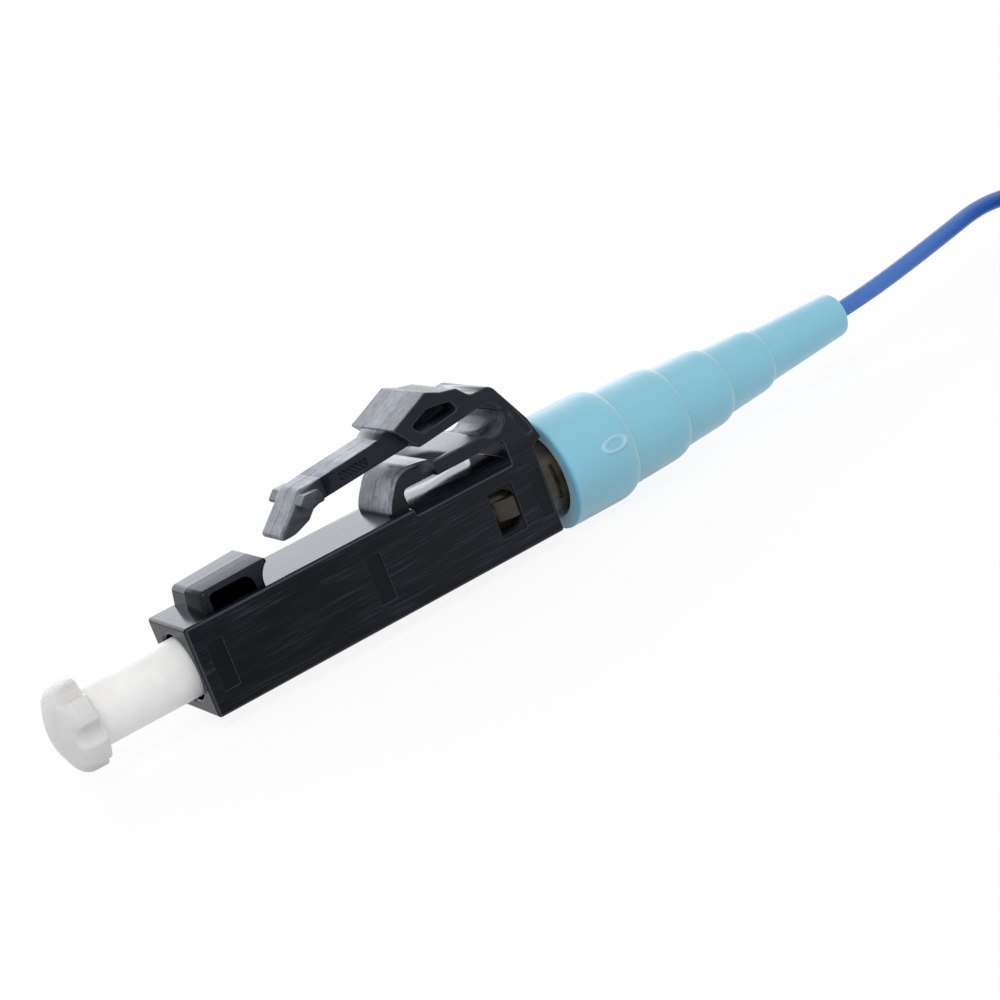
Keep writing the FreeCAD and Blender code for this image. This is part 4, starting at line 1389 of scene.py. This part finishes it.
    def eased(self, name: str, build: BMesh) -> Object:
        """Make a piece with the weighted edges rounded and the flat faces shaded flat.

        Args:
            name: The piece's name.
            build: Its mesh in the making.

        Returns:
            The piece.
        """
        piece = add_piece(name, meshed(build, name), GlossBlack())
        bevel = piece.modifiers.new("edges", "BEVEL")
        bevel.width, bevel.segments = self.edge * MM, 2
        bevel.limit_method, bevel.miter_outer = "WEIGHT", "MITER_ARC"
        bevel.use_clamp_overlap = False
        shading = piece.modifiers.new("shading", "WEIGHTED_NORMAL")
        shading.mode, shading.weight = "FACE_AREA", 60
        return baked(piece)

    def web(self) -> None:
        """Dress the thin web."""
        build = self.whole_faces("latch_hinge")
        self.weigh(build, [self.joint(angle) for angle in (self.web_low, self.web_high)], lambda side: 1.0)
        for angle in range(int(self.web_low) + self.web_step, int(self.web_high), self.web_step):
            sliced(build, self.joint(angle))
        piece = self.eased("latch_web", build)
        middle = math.radians((self.web_low + self.web_high) / 2)
        blend = 0.55 * MM
        way = Vector((-math.sin(middle), 0.0, math.cos(middle))) * blend
        centre = AXES.at(self.hinge[0] + self.web_radius * math.cos(middle), 0.0,
                         self.hinge[1] + self.web_radius * math.sin(middle))
        bridge(piece, "latch_hinge", (Body.PLUG, Body.LATCH), centre - way, centre + way)


# ---- the boot ----


@dataclass
class Boot:
    """The stepped boot, which leans up a little towards its end."""

    front: float = 20.55  # the mouth
    end: float = 39.75  # where the fibre leaves
    ring: float = 2.91  # the widest radius
    mouth: float = 2.25  # its radius
    exit: float = 0.5  # the fibre's hole
    lean: float = 0.26  # how far the end is raised
    lean_start: float = 26.0
    lean_power: float = 1.6  # how suddenly it leans
    segments: int = 160
    shoulder: float = 0.95  # how far a shoulder's rounding reaches
    shoulder_turn: float = 82.0  # how far it goes round, in degrees
    shoulder_parts: int = 8
    # Where each shoulder ends, and the radii of the next length's ends.
    lengths: tuple = ((24.6, 2.56, 2.47), (28.2, 2.17, 2.08), (31.3, 1.8, 1.68), (34.4, 1.42, 1.15))
    # The bore's corners, from the end to the mouth: place and radius.
    bore: tuple = ((34.3, 0.5), (34.3, 0.75), (26.3, 0.75), (26.3, 1.58), (21.5, 1.58))

    def profile(self) -> list[Point]:
        """Draw the wall's section.

        Returns:
            Its closed outline, from the mouth.
        """
        points = filleted([(self.front, self.mouth, 0.0), (self.front, self.ring, 0.16),
                           (self.front + 1.0, self.ring, 0.0)])
        wide = self.ring
        for foot, radius, narrow in self.lengths:
            for part in range(self.shoulder_parts + 1):
                turn = math.radians(self.shoulder_turn) * part / self.shoulder_parts
                points.append((foot - self.shoulder * (1 - math.sin(turn)),
                               radius + (wide - radius) * math.cos(turn)))
            points += [(foot + 0.05, radius + 0.006), (foot + 0.14, radius)]
            wide = narrow
        rim = filleted([(*points[-1], 0.0), (self.end, wide, 0.22), (self.end, self.exit, 0.0)])
        return points + rim[1:] + [*self.bore, (self.bore[-1][0], self.mouth)]

    def build(self) -> None:
        """Make the boot."""
        mesh = lathe("boot_sleeve", split_long(self.profile(), 0.5), self.segments)
        for corner in mesh.vertices:
            share = (AXES.spot(corner.co)[0] - self.lean_start) / (self.end - self.lean_start)
            corner.co.z += self.lean * MM * max(0.0, share) ** self.lean_power
        piece = add_piece("boot_sleeve", mesh, SoftAqua())
        mesh.set_sharp_from_angle(angle=math.radians(50))
        settle(piece, Body.PLUG, "boot_aqua", "strain_relief_boot")


# ---- the dust cap ----


@dataclass
class DustCap:
    """The dust cap: a stem with a domed head whose rim has six flutes."""

    nose: float = -6.85  # the dome's pole
    dome: float = 3.3  # its radius
    dome_turn: float = 24.0  # how far it goes from the pole, in degrees
    dome_parts: int = 14
    brow: Point = (-6.18, 0.72)  # the rounding round the dome: place and radius
    head: float = 2.2  # its radius
    head_back: float = -4.98
    stem: float = 1.5  # its radius
    stem_end: float = 2.6
    socket: float = 0.64  # its radius
    socket_end: float = -1.75
    flutes: int = 6
    flute_angle: float = 121.0  # the first flute's, in degrees
    flute_radius: float = 0.6
    flute_centre: float = 2.46  # from the axis
    easing: float = 0.24  # how softly a flute runs out into the rim
    segments: int = 288

    def profile(self) -> list[Point]:
        """Draw half the cap's section.

        Returns:
            The outline, from the nose's pole to the bottom of the socket.
        """
        turns = [math.radians(self.dome_turn) * part / self.dome_parts
                 for part in range(self.dome_parts + 1)]
        dome = [(self.nose + self.dome * (1 - math.cos(turn)), self.dome * math.sin(turn)) for turn in turns]
        return dome + filleted([
            (*dome[-1], 0.0), (self.brow[0], self.head, self.brow[1]), (self.head_back, self.head, 0.14),
            (self.head_back, self.stem, 0.14), (self.stem_end, self.stem, 0.2),
            (self.stem_end, self.socket, 0.1), (self.socket_end, self.socket, 0.0),
            (self.socket_end, 0.0, 0.0)])[1:]

    def recipe(self) -> Recipe:
        """Make the tree that presses the flutes into the turned blank.

        Returns:
            The tree.
        """
        tree = Recipe("fluted_rim")
        count, first, radius, centre, easing, height = tree.sizes({
            "Flutes": self.flutes, "First Angle": math.radians(self.flute_angle),
            "Flute Radius": self.flute_radius * MM, "Flute Centre": self.flute_centre * MM,
            "Easing": self.easing * MM, "Axis Height": AXES.height})
        place = tree.add("GeometryNodeInputPosition").outputs[0]
        apart = tree.add("ShaderNodeSeparateXYZ", {"Vector": place})
        y, z = Signal(tree, apart.outputs["Y"]), Signal(tree, apart.outputs["Z"]) - height
        reach = (y ** 2.0 + z ** 2.0).math("SQRT").math("MAXIMUM", LEAST)
        share = 2 * math.pi / count
        offset = (z.math("ARCTAN2", y) - first).math("WRAP", share * 0.5, share * -0.5)
        aside = centre * offset.math("SINE")
        inside = (radius * radius - aside * aside).math("MAXIMUM", 0.0)
        missed = 1.0 - inside.math("GREATER_THAN", 0.0)
        limit = centre * offset.math("COSINE") - inside.math("SQRT") + missed
        kept = reach.math("SMOOTH_MIN", limit, easing) / reach
        moved = tree.add("ShaderNodeCombineXYZ", {
            "X": apart.outputs["X"], "Y": y * kept, "Z": z * kept + height})
        pressed = tree.add("GeometryNodeSetPosition", {
            "Geometry": tree.given.outputs["Geometry"], "Position": moved.outputs[0]})
        tree.close(pressed.outputs[0], SatinWhite())
        return tree

    def build(self) -> None:
        """Make the cap."""
        blank = lathe("dust_cap_fluted", split_long(self.profile(), 0.25), self.segments)
        piece = add_piece("dust_cap_fluted", blank, SatinWhite())
        self.recipe().grow(piece, {"Flutes": float(self.flutes)})
        settle(piece, Body.CAP, "cap_white", "dust_cap")


# ---- what the chamber holds ----


@dataclass
class SpringChamber:
    """The rear body, the spring and the pieces that carry the fibre."""

    turns: float = 5.0
    start: float = 5.5
    end: float = 11.5
    coil_radius: float = 1.24
    wire_radius: float = 0.15
    travel: float = 0.9  # how far the ferrule is pushed back

    def build(self) -> None:
        """Make or dress every piece."""
        self.spring()
        self.flexing_fibre()
        self.rear_body()
        for node, finish, slot in (("ferrule", ZIRCONIA, "zirconia"),
                                   ("ferrule_flange", NICKEL, "plated_metal"),
                                   ("glass_fibre", GLASS, "glass"),
                                   ("buffer_held", FibreJacket(), "fibre_blue"),
                                   ("liner_tube", LINER, "liner_natural"),
                                   ("buffer_in_boot", FibreJacket(), "fibre_blue")):
            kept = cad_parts[node]
            kept.data.materials.clear()
            kept.data.materials.append(PAINTS.get(finish))
            log.info("%s: packed shape with %s", node, slot)

    def recipe(self) -> Recipe:
        """Make the tree that winds the spring's wire along the fibre.

        Returns:
            The tree.
        """
        tree = Recipe("wound_spring")
        turns, radius, length, wire, start, height = tree.sizes({
            "Turns": self.turns, "Coil Radius": self.coil_radius * MM, "Length": 1.0 * MM,
            "Wire Radius": self.wire_radius * MM, "Start": 0.0, "Axis Height": AXES.height})
        helix = tree.add("GeometryNodeCurveSpiral", {
            "Resolution": 40, "Rotations": turns, "Start Radius": radius,
            "End Radius": radius, "Height": length})
        ring = tree.add("GeometryNodeCurvePrimitiveCircle", {"Resolution": 14, "Radius": wire})
        tube = tree.add("GeometryNodeCurveToMesh", {
            "Curve": helix.outputs[0], "Profile Curve": ring.outputs[0], "Fill Caps": True})
        seat = tree.add("ShaderNodeCombineXYZ", {"X": start, "Z": height})
        laid = tree.add("GeometryNodeTransform", {
            "Geometry": tube.outputs[0], "Rotation": (0.0, math.pi / 2, 0.0),
            "Translation": seat.outputs[0]})
        tree.close(laid.outputs[0], SPRING_STEEL)
        return tree

    def spring(self) -> None:
        """Wind the spring."""
        length = self.end - self.start - 2 * self.wire_radius
        piece = add_piece("spring_wire", bpy.data.meshes.new("blank"), SPRING_STEEL)
        self.recipe().grow(piece, {"Length": length * MM, "Start": AXES.at(self.start + self.wire_radius).x})
        settle(piece, Body.PLUG, "spring_steel", "ferrule_spring")
        AXES.at(self.end)
        1 - self.travel / (self.end - self.start)
        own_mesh(piece)

    def flexing_fibre(self) -> None:
        """Make the short length of fibre behind the ferrule."""
        low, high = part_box("buffer_flex")
        start, end = AXES.spot(low)[0], AXES.spot(high)[0]
        radius = (high.z - low.z) / 2 / MM
        profile = split_long([(start, 0.0), (start, radius), (end, radius), (end, 0.0)], 0.4)
        piece = add_piece("fibre_flexing", lathe("fibre_flexing", profile, 32), FibreJacket())
        bridge(piece, "buffer_flex", (Body.FERRULE, Body.PLUG), AXES.at(start), AXES.at(end))

    @staticmethod
    def turned_normals(mesh: Mesh) -> list[Vector]:
        """Find normals that shade the turned faces round and the others flat.

        Args:
            mesh: A mesh whose turned faces go round the fibre axis.

        Returns:
            The normal of each face's each corner.
        """
        normals, turned = [], 0.93  # how near round a turned face's normal is
        for face in mesh.polygons:
            for index in face.vertices:
                place = mesh.vertices[index].co
                out = Vector((0.0, place.y, place.z - AXES.height)).normalized()
                side = Vector((face.normal.x, 0.0, 0.0)) + out * math.sqrt(max(0.0, 1 - face.normal.x ** 2))
                match = face.normal.dot(side)
                kept = side * math.copysign(1.0, match) if abs(match) > turned else face.normal.copy()
                normals.append(kept)
        return normals

    def rear_body(self) -> None:
        """Dress the smoky rear body, with its turned faces shaded round."""
        piece = add_piece("rear_body_smoky", meshed(clean("rear_body"), "rear_body_smoky"), SmokyPlastic())
        piece.data.normals_split_custom_set(self.turned_normals(piece.data))
        settle(piece, Body.PLUG, "smoky_plastic", "rear_body")


# ---- the loose fibre ----


@dataclass
class LooseFibre:
    """The buffered fibre beyond the boot, and the coil that puts its length away."""

    route: tuple = ((39.75, 0.0, 0.26), (42.0, 0.0, 0.43), (45.0, 0.0, 0.83), (48.3, 0.15, 1.3),
                    (51.5, 1.3, 1.35), (54.6, 2.6, 0.8), (56.8, 3.0, 0.25))
    diameter: float = 0.9
    length: float = 1000.0  # in all
    rings: int = 4
    turns_high: int = 8  # in a ring
    outer_turns: int = 4
    outer_radius: float = 7.5
    centre: Point = (59.2, -4.05)
    points_a_turn: int = 16
    step_in: float = 0.35  # the share of a turn in which it steps to the next ring

    def coil(self) -> list[tuple[float, float, float]]:
        """Wind the coil, ring inside ring.

        Returns:
            Its places, from the top of the outermost ring.
        """
        floor = -AXES.height / MM + self.diameter / 2
        corner = math.cos(math.pi / self.points_a_turn)
        points, turn = [], 0.0
        for ring in range(self.rings):
            count = self.turns_high if ring else self.outer_turns
            radius = self.outer_radius - self.diameter * (ring + 0.5)
            for step in range(count * self.points_a_turn):
                level = step / self.points_a_turn
                stacked = min(level, count - 1) if ring % 2 else max(count - 1 - level, 0.0)
                ease = min(1.0, level / self.step_in)
                out = (radius + self.diameter * (1 - ease) if ring else radius) / corner
                angle = math.pi / 2 - turn
                points.append((self.centre[0] + out * math.cos(angle),
                               self.centre[1] + out * math.sin(angle),
                               floor + stacked * self.diameter))
                turn += 2 * math.pi / self.points_a_turn
        return points

    def build(self) -> None:
        """Lay the fibre as one smooth curve."""
        line = bpy.data.curves.new("loose_fibre", "CURVE")
        line.dimensions, line.use_fill_caps = "3D", True
        line.bevel_depth, line.bevel_resolution, line.resolution_u = self.diameter / 2 * MM, 4, 6
        route = [*self.route, *self.coil()]
        spline = line.splines.new("NURBS")
        spline.points.add(len(route) - 1)
        for point, place in zip(spline.points, route):
            point.co = (*AXES.at(*place), 1.0)
        spline.order_u, spline.use_endpoint_u = 3, True
        line.materials.append(PAINTS.get(FibreJacket()))
        piece = shown("loose_fibre", line)
        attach(piece, Body.PLUG.value)
        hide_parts("fibre_tail", "fibre_coil")
        AXES.at(*self.route[0])
        log.info("loose_fibre: %d points", len(route))


# ---- the studio ----


@dataclass(frozen=True)
class Lamp:
    """A soft lamp that faces the plug.

    Args:
        name: The lamp's name.
        place: Where it hangs, in the plug's millimetres.
        size: Its width and height, in millimetres.
        power: Its power, in watts.
        tint: The colour of its light.
    """

    name: str
    place: tuple
    size: Point
    power: float
    tint: Colour = (1.0, 1.0, 1.0)

    def hang(self, target: Vector) -> None:
        """Hang the lamp so that it faces a point of the frame.

        Args:
            target: The point.
        """
        data = bpy.data.lights.new(self.name, "AREA")
        data.shape, data.energy, data.color = "RECTANGLE", self.power, self.tint
        data.size, data.size_y = self.size[0] * MM, self.size[1] * MM
        lamp = shown(self.name, data)
        lamp.location = AXES.at(*self.place)
        lamp.rotation_mode = "QUATERNION"
        lamp.rotation_quaternion = (target - lamp.location).to_track_quat("-Z", "Y")


@dataclass
class Studio:
    """The camera, a pale floor and soft light."""

    eye: tuple = (-32.762, -106.884, 34.184)  # the camera's place
    azimuth: float = -25.383
    elevation: float = 16.146
    roll: float = -20.664
    lens: float = 91.418  # the focal length
    film: float = 36.0  # its width
    clip: Point = (0.005, 20.0)  # how near and how far it sees, in metres
    floor_colour: Colour = (0.77, 0.775, 0.79)
    floor_roughness: float = 0.7
    floor_reach: float = 6.0  # half its width, in metres
    backdrop_share: float = 0.9  # how white the floor looks near the plug
    shadow_near: float = 45.0  # so far out the shadow is full
    shadow_far: float = 140.0  # so far out the floor is plain white
    room_level: float = 0.65  # how strongly the room lights the plug
    middle: float = 14.0  # what the lamps face
    lamps: tuple = (Lamp("window", (-70.0, -140.0, 210.0), (150.0, 150.0), 0.3),
                    Lamp("backdrop_light", (35.0, 240.0, 98.0), (340.0, 165.0), 0.44, (0.88, 0.94, 1.0)))

    def build(self) -> None:
        """Set up everything that isn't part of the object."""
        self.camera()
        self.floor()
        self.sky()
        for lamp in self.lamps:
            lamp.hang(AXES.at(self.middle))
        bpy.context.scene.view_settings.view_transform = "Standard"

    def camera(self) -> None:
        """Stand the camera at the viewing angle."""
        turn, rise, roll = (math.radians(value) for value in (self.azimuth, self.elevation, self.roll))
        back = Vector((math.sin(turn) * math.cos(rise), -math.cos(turn) * math.cos(rise), math.sin(rise)))
        right = UP.cross(back).normalized()
        up = back.cross(right)
        across = right * math.cos(roll) + up * math.sin(roll)
        above = up * math.cos(roll) - right * math.sin(roll)
        data = bpy.data.cameras.new("camera")
        data.lens, data.sensor_width = self.lens, self.film
        data.clip_start, data.clip_end = self.clip
        stand = Matrix((across, above, back)).transposed().to_4x4()
        stand.translation = AXES.at(*self.eye)
        eye = shown("camera", data)
        eye.matrix_world = stand
        bpy.context.scene.camera = eye

    def floor(self) -> None:
        """Lay a wide pale floor that keeps a soft shadow."""
        build = bmesh.new()
        bmesh.ops.create_grid(build, x_segments=1, y_segments=1, size=self.floor_reach)
        floor = shown("floor", meshed(build, "floor"))
        paint = Paint("pale_floor")
        matte = paint.add("ShaderNodeBsdfPrincipled", {
            "Base Color": (*self.floor_colour, 1.0), "Roughness": self.floor_roughness})
        white = paint.add("ShaderNodeEmission", {"Color": (1, 1, 1, 1), "Strength": 1.0})
        away = paint.add("ShaderNodeVectorMath", {0: paint.place}, operation="LENGTH")
        plain = Signal(paint, away.outputs["Value"]).ramp(
            self.shadow_near * MM, self.shadow_far * MM, self.backdrop_share, 1.0)
        mixed = paint.add("ShaderNodeMixShader", {
            0: self.looked_at(paint) * plain, 1: matte.outputs[0], 2: white.outputs[0]})
        paint.add("ShaderNodeOutputMaterial", {"Surface": mixed.outputs[0]})
        floor.data.materials.append(paint.material)

    def sky(self) -> None:
        """Light the room evenly, with a white backdrop."""
        world = bpy.data.worlds.new("room")
        world.use_nodes = True
        world.node_tree.nodes.clear()
        bpy.context.scene.world = world
        room = Bench(world.node_tree)
        level = self.looked_at(room) * (1.0 - self.room_level) + self.room_level
        glow = room.add("ShaderNodeBackground", {"Color": (1, 1, 1, 1), "Strength": level})
        room.add("ShaderNodeOutputWorld", {"Surface": glow.outputs[0]})

    @staticmethod
    def looked_at(tree: Bench) -> Signal:
        """Tell which rays look at the room instead of being lit by it.

        Args:
            tree: The tree that asks.

        Returns:
            1 for a ray that the camera, a gloss or a clear piece sends, and 0 otherwise.
        """
        rays = tree.add("ShaderNodeLightPath")
        camera, glossy, clear = (Signal(tree, rays.outputs[f"Is {kind} Ray"])
                                 for kind in ("Camera", "Glossy", "Transmission"))
        return camera.math("MAXIMUM", glossy).math("MAXIMUM", clear)


# ---- all together ----


def main() -> None:
    """Dress the plug and set up the studio."""
    logging.basicConfig(level=logging.INFO, format="%(message)s")
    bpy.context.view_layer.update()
    for part in (Studio(), LooseFibre(), Moulding(), Boot(), DustCap(), SpringChamber()):
        part.build()


if __name__ == "__main__":
    main()
